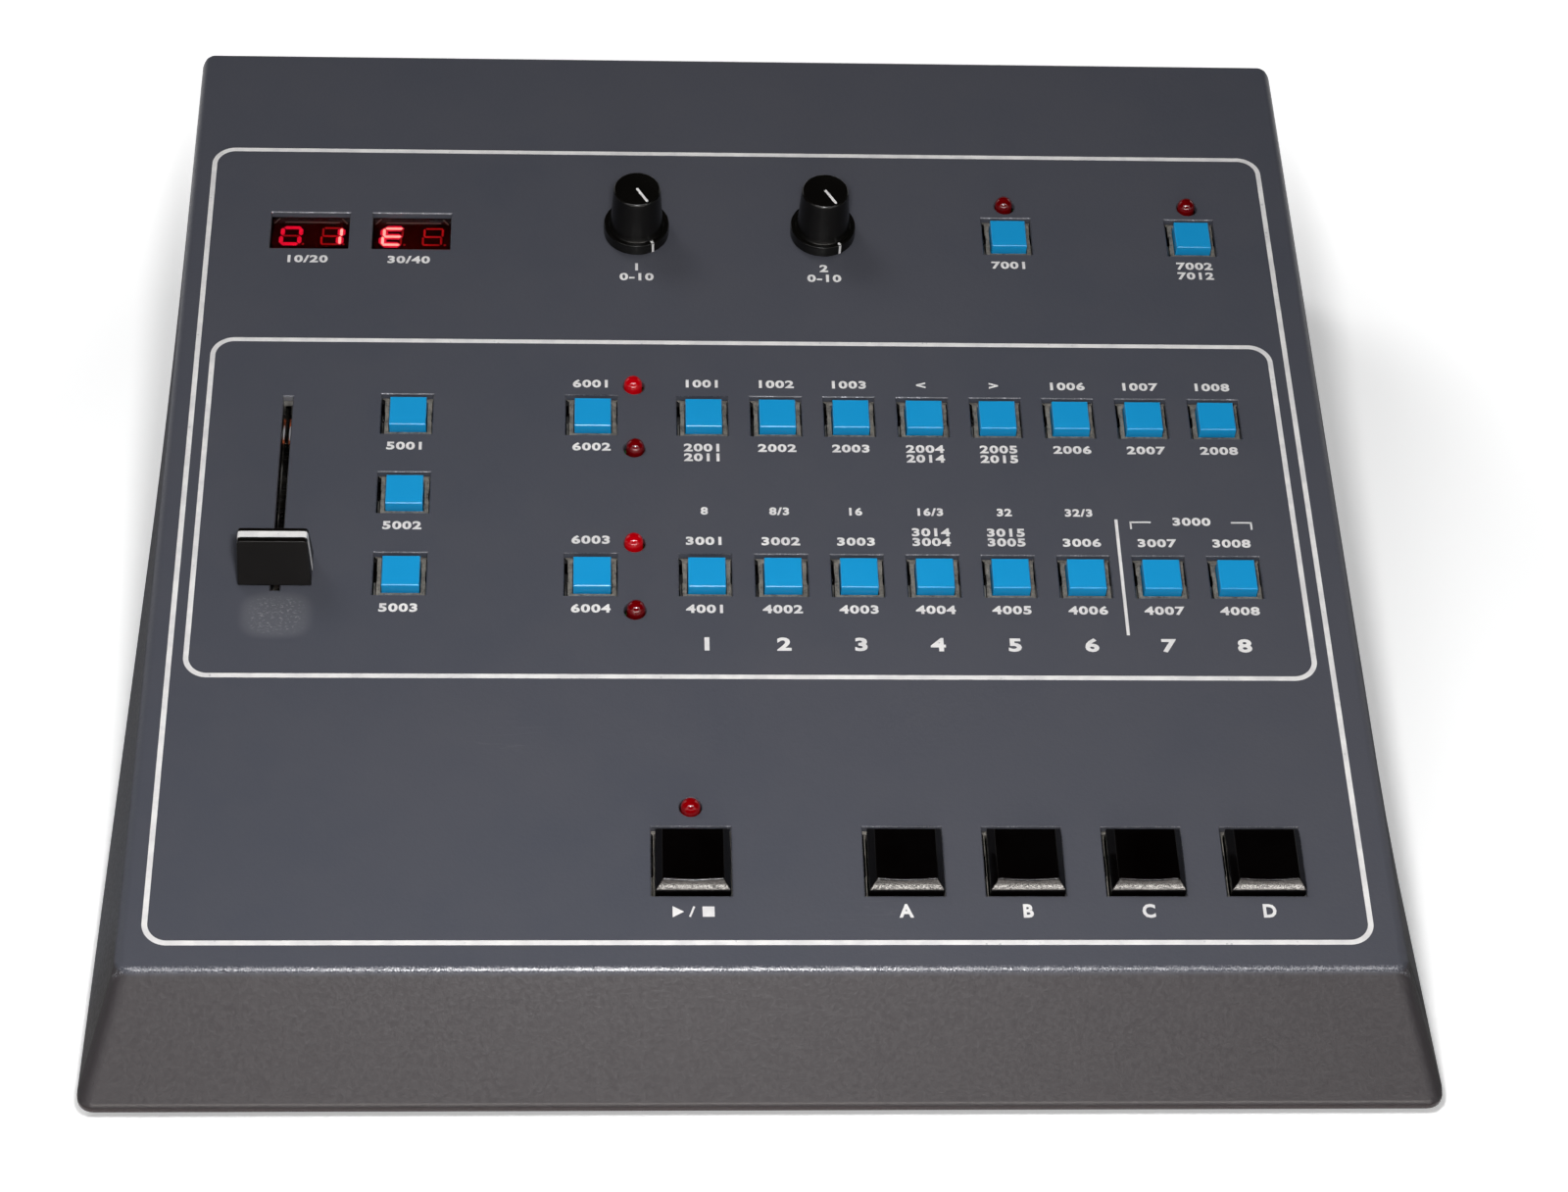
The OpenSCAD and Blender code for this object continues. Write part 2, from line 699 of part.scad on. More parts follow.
// A flat cable between the boards, in one loop, with a plug at each end
module ribbon_cable() {
    loop_r = 4;
    thick = 0.9;
    plug = [52, 6, 6];
    plug_y = main_board_y0 + 8;
    above = fold_z + (plug_y - fold_y) * tan(panel_tilt) + board_low_z / cos(panel_tilt);
    low_z = main_top_z + plug[2] - 1.5;
    slope_y = (plug_y - fold_y) / cos(panel_tilt);
    color([0.6, 0.6, 0.62]) translate([-70, 0, 0]) {
        translate([0, plug_y, main_top_z]) block(plug);
        translate([0, plug_y, low_z]) rotate([0, -90, 0]) translate([0, 0, -plug[0] / 2 + 2])
            linear_extrude(plug[0] - 4) {
                translate([loop_r, -12]) difference() {
                    circle(r = loop_r);
                    circle(r = loop_r - thick);
                    translate([-2 * loop_r, 0]) square(4 * loop_r);
                }
                translate([0, -12.01]) square([thick, 12]);
                translate([2 * loop_r - thick, -12.01]) square([thick, 12]);
                translate([2 * loop_r - thick, -2]) square([above - low_z - 2 * loop_r + thick - 3, 2]);
            }
        on_panel([0, slope_y - 1], board_low_z - 6) block(plug);
    }
}

module output_jacks() {
    color([0.1, 0.1, 0.11]) for (i = [0:jack_count - 1])
        translate([jack_x0 + i * jack_pitch, rear_in_y, jack_z]) difference() {
            union() {
                back_block(jack_body);
                rotate([-90, 0, 0]) cylinder(r = jack_bush_r, h = pan_t + jack_nut_t);
            }
            translate([0, pan_t + jack_nut_t + cut, 0]) rotate([90, 0, 0])
                cylinder(r = jack_bore_r, h = jack_bore_l + cut);
        }
}

module jack_nuts() {
    color([0.7, 0.7, 0.72]) for (i = [0:jack_count - 1])
        translate([jack_x0 + i * jack_pitch, rear_face_y, jack_z]) rotate([-90, 0, 0])
            difference() {
                cylinder(r = jack_nut_r, h = jack_nut_t, $fn = 6);
                translate([0, 0, -cut]) cylinder(r = jack_bush_r + 0.05, h = jack_nut_t + 2 * cut);
            }
}

// A three-pin mains inlet: flange, body, hollow and blades
module power_inlet() {
    color([0.07, 0.07, 0.08]) translate([inlet_x, rear_face_y, jack_z]) {
        difference() {
            union() {
                translate([0, inlet_flange[1], 0]) back_block(inlet_flange);
                back_block(inlet_body);
            }
            translate([0, inlet_flange[1] + cut, 0])
                back_block([inlet_hollow[0], inlet_hollow[1] + cut, inlet_hollow[2]]);
            for (sx = [-1, 1]) {
                translate([sx * inlet_ear, inlet_flange[1] + cut, 0]) rotate([90, 0, 0])
                    cylinder(r = m3_head_r + 0.2, h = 1.2 + cut);
                translate([sx * inlet_ear, inlet_flange[1] + cut, 0]) rotate([90, 0, 0])
                    cylinder(r = m3_hole_r, h = inlet_flange[1] + 2 * cut);
            }
        }
        for (p = [[-7, 1], [0, -3], [7, 1]])
            translate([p[0], inlet_flange[1] - 5.2, p[1]])
                back_block([2, inlet_hollow[1] - 5, 4]);
    }
}

module switch_housing() {
    color([0.07, 0.07, 0.08]) translate([switch_x, rear_face_y, jack_z]) difference() {
        union() {
            translate([0, switch_flange[1], 0]) back_block(switch_flange);
            back_block(switch_body);
        }
        translate([0, switch_flange[1] + cut, 0])
            back_block([rocker_w + 0.8, switch_flange[1] + 10 + cut, switch_body[2] - 1]);
        translate([-rocker_w / 2 - rocker_pin_l - 0.2, rocker_y - rear_face_y, 0]) rotate([0, 90, 0])
            cylinder(r = rocker_pin_r + run_gap, h = rocker_w + 2 * rocker_pin_l + 0.4);
    }
}

// The mains rocker: two flats that meet in a shallow V, on a pivot across the switch
module power_rocker() {
    half_h = switch_body[2] / 2 - 2;
    out_y = 5.9;
    face = [[-half_h, out_y + 0.9], [0, out_y], [half_h, out_y + 0.9], [half_h - 1, 0],
        [0, -3], [1 - half_h, 0]];
    color([0.09, 0.09, 0.1]) translate([switch_x, rocker_y, jack_z]) rotate([rocker_tilt, 0, 0]) {
        translate([-rocker_w / 2, 0, 0]) rotate([90, 0, 90]) linear_extrude(rocker_w)
            polygon([for (p = face) [p[1], p[0]]]);
        translate([-rocker_w / 2 - rocker_pin_l, 0, 0]) rotate([0, 90, 0])
            cylinder(r = rocker_pin_r, h = rocker_w + 2 * rocker_pin_l);
    }
}

top_cover();
base_pan();
feet();
case_screws();
key_switches();
pad_switches();
indicator_lamps();
display_modules();
display_filter();
control_board();
board_pillars();
small_screws();
volume_pots();
pot_nuts();
fader_body();
main_board();
main_chips();
power_transformer();
filter_capacitors();
ribbon_cable();
output_jacks();
jack_nuts();
power_inlet();
switch_housing();
power_rocker();
fader_carriage();
fader_cap();
knob(knob_xs[0]);  // knob_left
knob(knob_xs[1]);  // knob_right
shaft(knob_xs[0]);  // shaft_left
shaft(knob_xs[1]);  // shaft_right
for (i = [0:len(key_names) - 1])
    key(key_places[i]);
for (i = [0:len(pad_names) - 1])
    pad(pad_places[i]);
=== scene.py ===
"""The looks of a drum machine: a wedge-shaped steel case with a sloping control panel, square keys,
start pads, lamps, displays, two knobs and a slide fader. Shapes are modelled in millimetres, in the
panel's own frame or upright in the case's frame, and turned into metres as each piece is made."""

import math

import bmesh
import bpy
from mathutils import Matrix, Vector


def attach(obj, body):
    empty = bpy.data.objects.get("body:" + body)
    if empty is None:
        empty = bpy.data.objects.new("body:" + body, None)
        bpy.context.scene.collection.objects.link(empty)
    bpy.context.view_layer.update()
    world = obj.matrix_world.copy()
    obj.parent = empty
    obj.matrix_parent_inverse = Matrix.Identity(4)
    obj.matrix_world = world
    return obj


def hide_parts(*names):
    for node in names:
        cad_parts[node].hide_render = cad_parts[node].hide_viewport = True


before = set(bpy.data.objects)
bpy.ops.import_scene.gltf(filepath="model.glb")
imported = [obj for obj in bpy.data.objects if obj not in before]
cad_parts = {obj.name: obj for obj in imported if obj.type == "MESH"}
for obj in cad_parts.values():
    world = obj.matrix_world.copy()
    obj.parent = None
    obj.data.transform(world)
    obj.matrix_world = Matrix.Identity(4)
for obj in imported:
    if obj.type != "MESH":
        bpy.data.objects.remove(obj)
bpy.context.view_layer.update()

# ---------------------------------------------------------------- sizes, in millimetres

TILT = math.radians(9)
PANEL_W, PANEL_L = 318.5, 319.6
CASE_W, RAMP_D, WALL, WIDEST_BEND = 338, 22, 2, 4.5
CASE_D = RAMP_D + PANEL_L * math.cos(TILT)
BASE_Z, LIP_H = 5, 2
FOLD_Y, FOLD_Z = RAMP_D - CASE_D / 2, BASE_Z + 28
BACK_Y, BACK_Z = CASE_D / 2, FOLD_Z + PANEL_L * math.sin(TILT)

UPPER_Y, LOWER_Y, TOP_Y, PAD_Y = 178.6, 122.8, 247.3, 31.8
TOP_KEY_Y = TOP_Y + 0.2
PRINT_UPPER_Y, PRINT_LOWER_Y, PRINT_PAD_Y = 177.1, 121.4, 31.5
KEY_XS = [-13.4 + 20.32 * i for i in range(8)]
LEFT_X, PAGE_X, LAMP_X = -94.5, -43.9, -32.2
COLUMN_YS = [UPPER_Y, (UPPER_Y + LOWER_Y) / 2, LOWER_Y]
PRINT_COLUMN_YS = [PRINT_UPPER_Y, (PRINT_UPPER_Y + PRINT_LOWER_Y) / 2, PRINT_LOWER_Y]
TOP_KEY_XS = [75.5, KEY_XS[7]]
START_X = -18.4
BANK_XS = [35 + 30.4 * i for i in range(4)]
KNOB_XS = [-31.3, 22.1]
DISPLAY_XS = [-124.4, LEFT_X - 1]
FADER_X, FADER_Y, CARRIAGE_Y = -127.1, 150.8, 123.5
CAP_SHIFT, PAD_DROP, PAD_HOLE_L = 0.35, 0.8, 20.8

KEY_CAP, KEY_HOLE, KEY_TOP, KEY_FOOT = 10, 14.2, 1.4, -6.6
KEY_BEVEL = (0.27, 0.193)
PAD_CAP, PAD_CAP_L, PAD_HOLE, PAD_TOP, PAD_FOOT = 18.8, 18.6, 20.2, 4.2, -7.1
PAD_BEVEL = (1.85, 2.6)
LAMP_R, LAMP_HOLE_R, LAMP_STEP, BUSH_HOLE_R = 2.5, 2.9, 11.35, 3.9
WINDOW = (22.4, 13.9)
SLOT = (2.6, 67.6)
SLOT_FAR = FADER_Y + SLOT[1] / 2
# contact strips beside the lever's way: how far from the slot's middle, where along it, how high
SLOT_STRIPS = ((-0.97, SLOT_FAR - 8.8, -4.4), (0.97, SLOT_FAR - 11.0, -2.15))
FACE_Z, FILTER_TOP = -3.15, -2.02
BOARD_Z = -10.5
INK_LOW, INK_HIGH = -0.01, 0.035

FOOT_X, FOOT_Y = 125, CASE_D / 2 - 38
REAR_Y, REAR_Z = CASE_D / 2 - WALL - 0.4, 37
JACK_XS = [-126 + 21 * i for i in range(8)]
INLET_X, BACK_OPENING = 106, (280, 8, 43)

KEY_PLACES = {
    **{f"key_upper_{i + 1}": (x, UPPER_Y) for i, x in enumerate(KEY_XS)},
    **{f"key_lower_{i + 1}": (x, LOWER_Y) for i, x in enumerate(KEY_XS)},
    **{f"key_left_{i + 1}": (LEFT_X, y) for i, y in enumerate(COLUMN_YS)},
    **{f"key_page_{i + 1}": (PAGE_X, y) for i, y in enumerate([UPPER_Y, LOWER_Y])},
    **{f"key_top_{i + 1}": (x, TOP_KEY_Y) for i, x in enumerate(TOP_KEY_XS)},
}
PAD_PLACES = {
    "pad_start": (START_X, PAD_Y),
    **{f"pad_bank_{i + 1}": (x, PAD_Y) for i, x in enumerate(BANK_XS)},
}
PAGE_LAMP_YS = [UPPER_Y - 0.75, LOWER_Y - 0.75]
LAMP_PLACES = {
    "lamps_lit": [(LAMP_X, y + LAMP_STEP) for y in PAGE_LAMP_YS],
    "lamp_start": [(START_X, PAD_Y + 16.1)],
    "lamps_dark": [
        *[(LAMP_X, y - LAMP_STEP) for y in PAGE_LAMP_YS],
        *[(x, TOP_KEY_Y + 11.8) for x in TOP_KEY_XS],
    ],
}


# ---------------------------------------------------------------- modelling helpers

def shift(x, y, z=0):
    return Matrix.Translation((x, y, z))


def turn(angle, axis="Z"):
    return Matrix.Rotation(angle, 4, axis)


ON_PANEL = shift(0, FOLD_Y, FOLD_Z) @ turn(TILT, "X")
TO_PANEL = ON_PANEL.inverted()
UPRIGHT = Matrix.Identity(4)
TO_METRES = Matrix.Diagonal((0.001, 0.001, 0.001, 1))


def block(bm, size, at=(0, 0, 0)):
    """A box of that size, centred on at across and standing on at's height."""
    verts = bmesh.ops.create_cube(bm, size=1)["verts"]
    bmesh.ops.scale(bm, vec=size, verts=verts)
    bmesh.ops.translate(bm, vec=(at[0], at[1], at[2] + size[2] / 2), verts=verts)
    return verts


def rod(bm, radius, low, high, at=(0, 0), sides=32):
    """An upright cylinder from low to high."""
    verts = bmesh.ops.create_cone(
        bm, cap_ends=True, segments=sides, radius1=radius, radius2=radius, depth=high - low
    )["verts"]
    bmesh.ops.translate(bm, vec=(at[0], at[1], (low + high) / 2), verts=verts)
    return verts


def edges_of(verts, wanted=lambda a, b: True):
    """The edges among those vertices whose two ends pass a test on their places."""
    inside = set(verts)
    found = {e for v in verts for e in v.link_edges if e.other_vert(v) in inside}
    return sorted(
        (e for e in found if wanted(e.verts[0].co, e.verts[1].co)), key=lambda e: e.index
    )


def upright_edge(a, b):
    return abs(a.z - b.z) > 1e-4 and abs(a.x - b.x) < 1e-4 and abs(a.y - b.y) < 1e-4


def round_edges(bm, edges, width, segments=3):
    bm.edges.index_update()
    bmesh.ops.bevel(
        bm, geom=edges, offset=width, offset_type="OFFSET", segments=segments, profile=0.5,
        affect="EDGES", material=-1, clamp_overlap=True,
    )


def soft_block(bm, size, at, width, segments=2, wanted=lambda a, b: True):
    """A box with those edges rounded that pass a test."""
    round_edges(bm, edges_of(block(bm, size, at), wanted), width, segments)


def turned(bm, profile, steps=48):
    """Spins a profile of (radius, height) points all the way round the vertical."""
    verts = [bm.verts.new((r, 0, z)) for r, z in profile]
    edges = [bm.edges.new(pair) for pair in zip(verts, verts[1:])]
    bmesh.ops.spin(
        bm, geom=verts + edges, cent=(0, 0, 0), axis=(0, 0, 1), angle=math.tau, steps=steps,
        use_merge=True,
    )
    bmesh.ops.remove_doubles(bm, verts=bm.verts, dist=1e-4)
    return bm


def squared(profile):
    """A bmesh of a profile of (half side, height) points carried round a square."""
    bm = turned(bmesh.new(), [(half * math.sqrt(2), z) for half, z in profile], 4)
    bm.transform(turn(math.pi / 4))
    return bm


def raised(bm, geom, by):
    """Moves the vertices among some geometry straight up, and gives them back."""
    verts = [g for g in geom if isinstance(g, bmesh.types.BMVert)]
    bmesh.ops.translate(bm, vec=(0, 0, by), verts=verts)
    return verts


def moved(bm, verts, matrix):
    bmesh.ops.transform(bm, matrix=matrix, verts=verts)


def sliced(bm, point, normal):
    bmesh.ops.bisect_plane(
        bm, geom=bm.verts[:] + bm.edges[:] + bm.faces[:], dist=1e-5, plane_co=point,
        plane_no=normal,
    )


def flattened(bm, degrees):
    bmesh.ops.dissolve_limit(
        bm, angle_limit=math.radians(degrees), verts=bm.verts, edges=bm.edges
    )


def mesh_of(bm, name="shape"):
    mesh = bpy.data.meshes.new(name)
    bm.to_mesh(mesh)
    bm.free()
    return mesh


def opened(mesh):
    """A bmesh of a mesh's shape; the mesh itself goes."""
    bm = bmesh.new()
    bm.from_mesh(mesh)
    bpy.data.meshes.remove(mesh)
    return bm


def add(bm, other, *places):
    """Joins another bmesh's shapes on, once at each place."""
    shape = mesh_of(other)
    for place in places:
        copy = shape.copy()
        copy.transform(place)
        bm.from_mesh(copy)
        bpy.data.meshes.remove(copy)
    bpy.data.meshes.remove(shape)


def adjust(thing, **settings):
    for name, value in settings.items():
        setattr(thing, name, value)


def in_scene(name, data):
    made = bpy.data.objects.new(name, data)
    bpy.context.scene.collection.objects.link(made)
    return made


def as_shown(holder):
    """The mesh that an object shows, modifiers and all; the object itself goes."""
    graph = bpy.context.evaluated_depsgraph_get()
    mesh = bpy.data.meshes.new_from_object(holder.evaluated_get(graph), depsgraph=graph)
    bpy.data.objects.remove(holder)
    return mesh


def settle(mesh, **modifiers):
    """The mesh with those modifiers applied, each given as its kind and its settings."""
    holder = in_scene("holder", mesh)
    for kind, settings in modifiers.items():
        adjust(holder.modifiers.new(kind, kind), **settings)
    result = as_shown(holder)
    bpy.data.meshes.remove(mesh)
    return result


def cut(bm, cutter):
    """A new bmesh: bm with the cutter's solids taken away."""
    tool = in_scene("tool", mesh_of(cutter))
    mesh = settle(
        mesh_of(bm), BOOLEAN={"operation": "DIFFERENCE", "solver": "EXACT", "object": tool}
    )
    bpy.data.meshes.remove(tool.data)
    return opened(mesh)


def piece(bm, name, finish, node=None, place=ON_PANEL, body="root", crease=38):
    """Turns a bmesh in millimetres into a finished piece that rides on a body, and that stands for
    a construction node. The finish is the name of one, or of one for each material index."""
    bmesh.ops.remove_doubles(bm, verts=bm.verts, dist=1e-4)
    bmesh.ops.recalc_face_normals(bm, faces=bm.faces)
    bm.transform(TO_METRES @ place)
    mesh = mesh_of(bm, name)
    for face in mesh.polygons:
        face.use_smooth = True
    mesh.set_sharp_from_angle(angle=math.radians(crease))
    for use in [finish] if isinstance(finish, str) else finish:
        mesh.materials.append(FINISHES[use])
    mesh = settle(mesh, WEIGHTED_NORMAL={"keep_sharp": True, "weight": 50})
    mesh.name = name
    made = in_scene(name, mesh)
    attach(made, body)
    if node:
        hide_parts(node)


def dress(finish, *nodes):
    """Gives carried-over construction nodes their finish."""
    for name in nodes:
        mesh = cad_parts[name].data
        mesh.materials.clear()
        mesh.materials.append(FINISHES[finish])


# ---------------------------------------------------------------- shared surface effects

def shade(red, green, blue):
    """A display colour from 0 to 255 as the shader's linear colour."""
    parts = [c / 255 for c in (red, green, blue)]
    return (*[c / 12.92 if c <= 0.04045 else ((c + 0.055) / 1.055) ** 2.4 for c in parts], 1)


class Nodes:
    """A node tree in the making. Each value is a number, or the output of another node."""

    def __init__(self, tree):
        self.tree = tree

    def give(self, socket, value):
        if isinstance(value, bpy.types.NodeSocket):
            self.tree.links.new(value, socket)
        else:
            socket.default_value = value

    def node(self, kind, **inputs):
        node = self.tree.nodes.new("ShaderNode" + kind)
        for label, value in inputs.items():
            self.give(node.inputs[label.replace("_", " ")], value)
        return node

    def math(self, operation, *values, kind="Math"):
        node = self.node(kind)
        node.operation = operation
        for socket, value in zip(node.inputs, values):
            self.give(socket, value)
        return node.outputs["Value"]

    def times(self, first, second):
        return self.math("MULTIPLY", first, second)

    def ramp(self, value, low, high, low_out=0.0, high_out=1.0):
        """Maps value from low..high to low_out..high_out, smoothly and clamped."""
        node = self.node(
            "MapRange", Value=value, From_Min=low, From_Max=high, To_Min=low_out, To_Max=high_out
        )
        node.interpolation_type = "SMOOTHSTEP"
        return node.outputs["Result"]

    def noise(self, vector, scale, detail=2.0, roughness=0.6):
        return self.node(
            "TexNoise", Vector=vector, Scale=scale, Detail=detail, Roughness=roughness
        ).outputs["Fac"]


class Effect(Nodes):
    """A shared node group: a vector and numbers go in, and numbers come out."""

    def __init__(self, name, outputs, **inputs):
        super().__init__(bpy.data.node_groups.new(name, "ShaderNodeTree"))
        new = self.tree.interface.new_socket
        new("Vector", in_out="INPUT", socket_type="NodeSocketVector")
        for label, value in inputs.items():
            socket = new(label, in_out="INPUT", socket_type="NodeSocketFloat")
            socket.default_value = value
        for label in outputs:
            new(label, in_out="OUTPUT", socket_type="NodeSocketFloat")
        self.given = self.tree.nodes.new("NodeGroupInput").outputs
        self.out = self.tree.nodes.new("NodeGroupOutput").inputs


def surface_grain():
    """Fine surface grain: a height, and a broad mottle of tone. Size is its scale per metre."""
    group = Effect("surface grain", ["Height", "Tone"], Size=1500.0, Mottle=25.0)
    vector, size, mottle = group.given[0], group.given["Size"], group.given["Mottle"]
    group.give(group.out["Height"], group.noise(vector, size, 3.0))
    group.give(group.out["Tone"], group.ramp(group.noise(vector, mottle, 4.0), 0.32, 0.68))
    return group.tree


def dust_specks():
    """Sparse specks of dust or chips. Share is how many of the cells hold one."""
    group = Effect("dust specks", ["Mask"], Size=300.0, Share=0.03, Spread=0.16)
    cells = group.node("TexVoronoi", Vector=group.given[0], Scale=group.given["Size"]).outputs
    parts = group.node("SeparateColor", Color=cells["Color"]).outputs
    near = group.math("LESS_THAN", cells["Distance"], group.given["Spread"])
    chosen = group.math("LESS_THAN", parts["Red"], group.given["Share"])
    group.give(group.out["Mask"], group.times(near, group.times(chosen, parts["Green"])))
    return group.tree


def hairlines():
    """Fine hairline scratches that run one way, broken up so that only a few show."""
    group = Effect("hairline scratches", ["Mask"], Size=60.0, Share=0.5)
    vector = group.given[0]
    along = group.node("Mapping", Vector=vector, Rotation=(0.2, 0.1, 0.7), Scale=(1.0, 14.0, 4.0))
    lines = group.noise(along.outputs["Vector"], group.given["Size"], roughness=0.5)
    off = group.math("ABSOLUTE", group.math("SUBTRACT", lines, 0.5))
    few = group.ramp(group.noise(vector, 21.0, 1.0, 0.5), group.given["Share"], 0.9)
    group.give(group.out["Mask"], group.times(group.ramp(off, 0.0, 0.012, 1.0, 0.0), few))
    return group.tree


GRAIN, SPECKS, SCRATCHES = surface_grain(), dust_specks(), hairlines()


class Finish(Nodes):
    """A material in the making: its shader, its main grain, and what varies it over the surface."""

    def __init__(self, name, size, mottle, **settings):
        self.material = bpy.data.materials.new(name)
        self.material.use_nodes = True
        super().__init__(self.material.node_tree)
        self.shader = self.tree.nodes["Principled BSDF"].inputs
        for label, value in settings.items():
            self.shader[label.replace("_", " ")].default_value = value
        self.place = self.node("TexCoord").outputs["Object"]
        grain = self.effect(GRAIN, Size=size, Mottle=mottle)
        self.height, self.tone = grain["Height"], grain["Tone"]

    def effect(self, group, **values):
        node = self.node("Group")
        node.node_tree = group
        for label, value in {"Vector": self.place, **values}.items():
            self.give(node.inputs[label], value)
        return node.outputs

    def mix(self, mask, *colours):
        """Two colours by a mask; three numbers are a display colour, four a linear one."""
        node = self.node("Mix", Factor=mask)
        node.data_type = "RGBA"
        for socket, colour in zip(node.inputs[6:8], colours):
            plain = isinstance(colour, tuple) and len(colour) == 3
            self.give(socket, shade(*colour) if plain else colour)
        return node.outputs[2]

    def feed(self, socket, value):
        self.give(self.shader[socket], value)

    def colour(self, mask, *colours):
        self.feed("Base Color", self.mix(mask, *colours))

    def rough(self, mask, low, high):
        self.feed("Roughness", self.ramp(mask, 0.0, 1.0, low, high))

    def bumps(self, height, depth_mm):
        node = self.node("Bump", Height=height, Distance=depth_mm / 1000, Strength=1.0)
        self.feed("Normal", node.outputs["Normal"])

    def done(self, depth_mm, rough=None):
        """The material, with bumps by its grain and perhaps a roughness by its tone."""
        if rough:
            self.rough(self.tone, *rough)
        self.bumps(self.height, depth_mm)
        return self.material


def moulded(name, low, high, rough, size=900.0, depth=0.01, share=0.03, mottle=40.0, **more):
    """Moulded plastic, rubber or paint: two tones in a mottle, grain, and a little dust."""
    finish = Finish(name, size, mottle, **more)
    specks = finish.effect(SPECKS, Size=420.0, Share=share)
    finish.colour(specks["Mask"], finish.mix(finish.tone, low, high), (170, 165, 160))
    return finish.done(depth, rough)


def metal(name, low, high, rough, size=900.0, depth=0.004):
    """Bare or plated metal with a soft mottle and hairlines."""
    finish = Finish(name, size, 160.0, Metallic=1.0)
    lines = finish.effect(SCRATCHES, Size=120.0, Share=0.35)
    finish.colour(lines["Mask"], finish.mix(finish.tone, low, high), (230, 228, 222))
    return finish.done(depth, rough)


def case_paint():
    """Slate enamel with a textured half-gloss skin, worn smooth along the front fold, with a few
    specks
    and hairlines. Painted light on it: a warmer, darker tone on the front ramp for the light there,
    painted shade along the low edge, lighter flecks on the fold as painted highlight, and a painted
    patch of light in front of the fader, where the fader's cap throws light on the panel."""
    finish = Finish("slate enamel", 950.0, 9.0, IOR=1.5, Specular_IOR_Level=0.42)
    coarse = finish.effect(GRAIN, Size=420.0, Mottle=60.0)
    specks = finish.effect(SPECKS, Size=110.0, Share=0.004, Spread=0.07)
    lines = finish.effect(SCRATCHES, Size=26.0, Share=0.7)
    ramp, fold, edge = front_zones(finish)
    # Painted light that the fader's cap throws on the panel: an even glow and bright specks.
    caustic_glow, caustic_specks = painted_caustic_spot(finish)
    flecks = finish.noise(finish.place, 2200.0)
    # Lighter flecks over the bend of the fold are a painted highlight; the smoother skin there is
    # wear.
    worn = finish.times(fold, finish.ramp(flecks, 0.46, 0.6))
    tone = finish.mix(finish.tone, (72, 74, 83), (76, 77, 85))
    for mask, strength, colour in (
        (coarse["Tone"], 0.2, (82, 82, 88)),
        # a warmer, darker tone painted on the ramp, standing for the light on it
        (ramp, 1, (59, 55, 57)),
        # painted highlight flecks on the fold
        (worn, 0.5, (150, 150, 156)),
        # painted shade along the low edge
        (edge, 1, (42, 28, 29)),
        # painted light from the fader's cap: an even glow and bright specks
        (caustic_glow, 0.13, (150, 150, 154)),
        (caustic_specks, 1, (156, 156, 159)),
        (lines["Mask"], 0.12, (150, 150, 155)),
        (specks["Mask"], 1, (170, 170, 172)),
    ):
        tone = finish.mix(finish.times(mask, strength) if strength < 1 else mask, tone, colour)
    finish.feed("Base Color", tone)
    finish.rough(fold, finish.ramp(finish.height, 0.3, 0.7, 0.44, 0.34), 0.2)
    height = finish.math("ADD", finish.height, finish.times(coarse["Height"], 0.8))
    finish.bumps(finish.math("ADD", height, finish.times(flecks, fold)), 0.075)
    return finish.material


def front_zones(finish):
    """Masks over the cover's front, where paint stands in for light and shade: the ramp, the bend
    of the fold above it and the low edge.
    """
    places = finish.node("SeparateXYZ", Vector=finish.place).outputs
    off = finish.math("ABSOLUTE", finish.math("SUBTRACT", places["Y"], FOLD_Y / 1000))
    front, high, ramp, edge = [
        finish.ramp(places[axis], start / 1000, end / 1000) for axis, start, end in (
            ("Y", FOLD_Y + 25, FOLD_Y - 2), ("Z", FOLD_Z - 4, FOLD_Z - 2.5),
            ("Z", FOLD_Z - 0.5, FOLD_Z - 1.8), ("Z", BASE_Z + 1.7, BASE_Z + 1.2),
        )
    ]
    bend = finish.ramp(off, 0.0004, 0.0009, 1.0, 0.0)
    return finish.times(ramp, front), finish.times(bend, high), finish.times(edge, front)


def painted_caustic_spot(finish):
    """Soft masks of painted light over the panel in front of the fader's rest, for the light that
    the fader's cap throws there: an even glow, and bright specks within it.
    """
    spot = finish.node(
        "Mapping", Vector=finish.place, Scale=(0.0096, 0.0076, 0.02),
        Location=ON_PANEL @ Vector((-126.3, 108.6, 0)) / 1000,
    )
    spot.vector_type = "TEXTURE"
    places = finish.node("SeparateXYZ", Vector=spot.outputs["Vector"]).outputs
    reach = finish.math("ADD", *[
        finish.math("POWER", finish.math("ABSOLUTE", places[axis]), 3.0) for axis in "XY"
    ])
    caustic_glow = finish.ramp(reach, 0.3, 1.3, 1.0, 0.0)
    core = finish.ramp(reach, 0.05, 0.7, 1.0, 0.0)
    stretched = finish.node(
        "Mapping", Vector=finish.place, Rotation=(0, 0, 0.5), Scale=(1.0, 1.9, 1.0)
    )
    flecks = finish.noise(stretched.outputs["Vector"], 1150.0)
    return caustic_glow, finish.times(core, finish.ramp(flecks, 0.52, 0.8, 0.0, 0.8))


def ink():
    """White silk-screen ink, a little uneven, with the paint's texture under it."""
    finish = Finish("white ink", 1500.0, 180.0, Roughness=0.55)
    wear = finish.effect(SPECKS, Size=900.0, Share=0.05, Spread=0.3)
    tone = finish.mix(finish.tone, (214, 212, 212), (232, 230, 228))
    finish.colour(finish.times(wear["Mask"], 0.5), tone, (150, 150, 155))
    return finish.done(0.03)


def worn_edge():
    """The rims of the panel's holes, where the enamel is chipped through to bright steel."""
    finish = Finish("chipped rim", 2600.0, 700.0, IOR=1.5, Specular_IOR_Level=0.42)
    bare = finish.times(finish.ramp(finish.height, 0.48, 0.6), finish.tone)
    finish.colour(bare, (66, 67, 75), (132, 132, 137))
    finish.feed("Metallic", bare)
    finish.rough(bare, 0.45, 0.4)
    return finish.done(0.05)


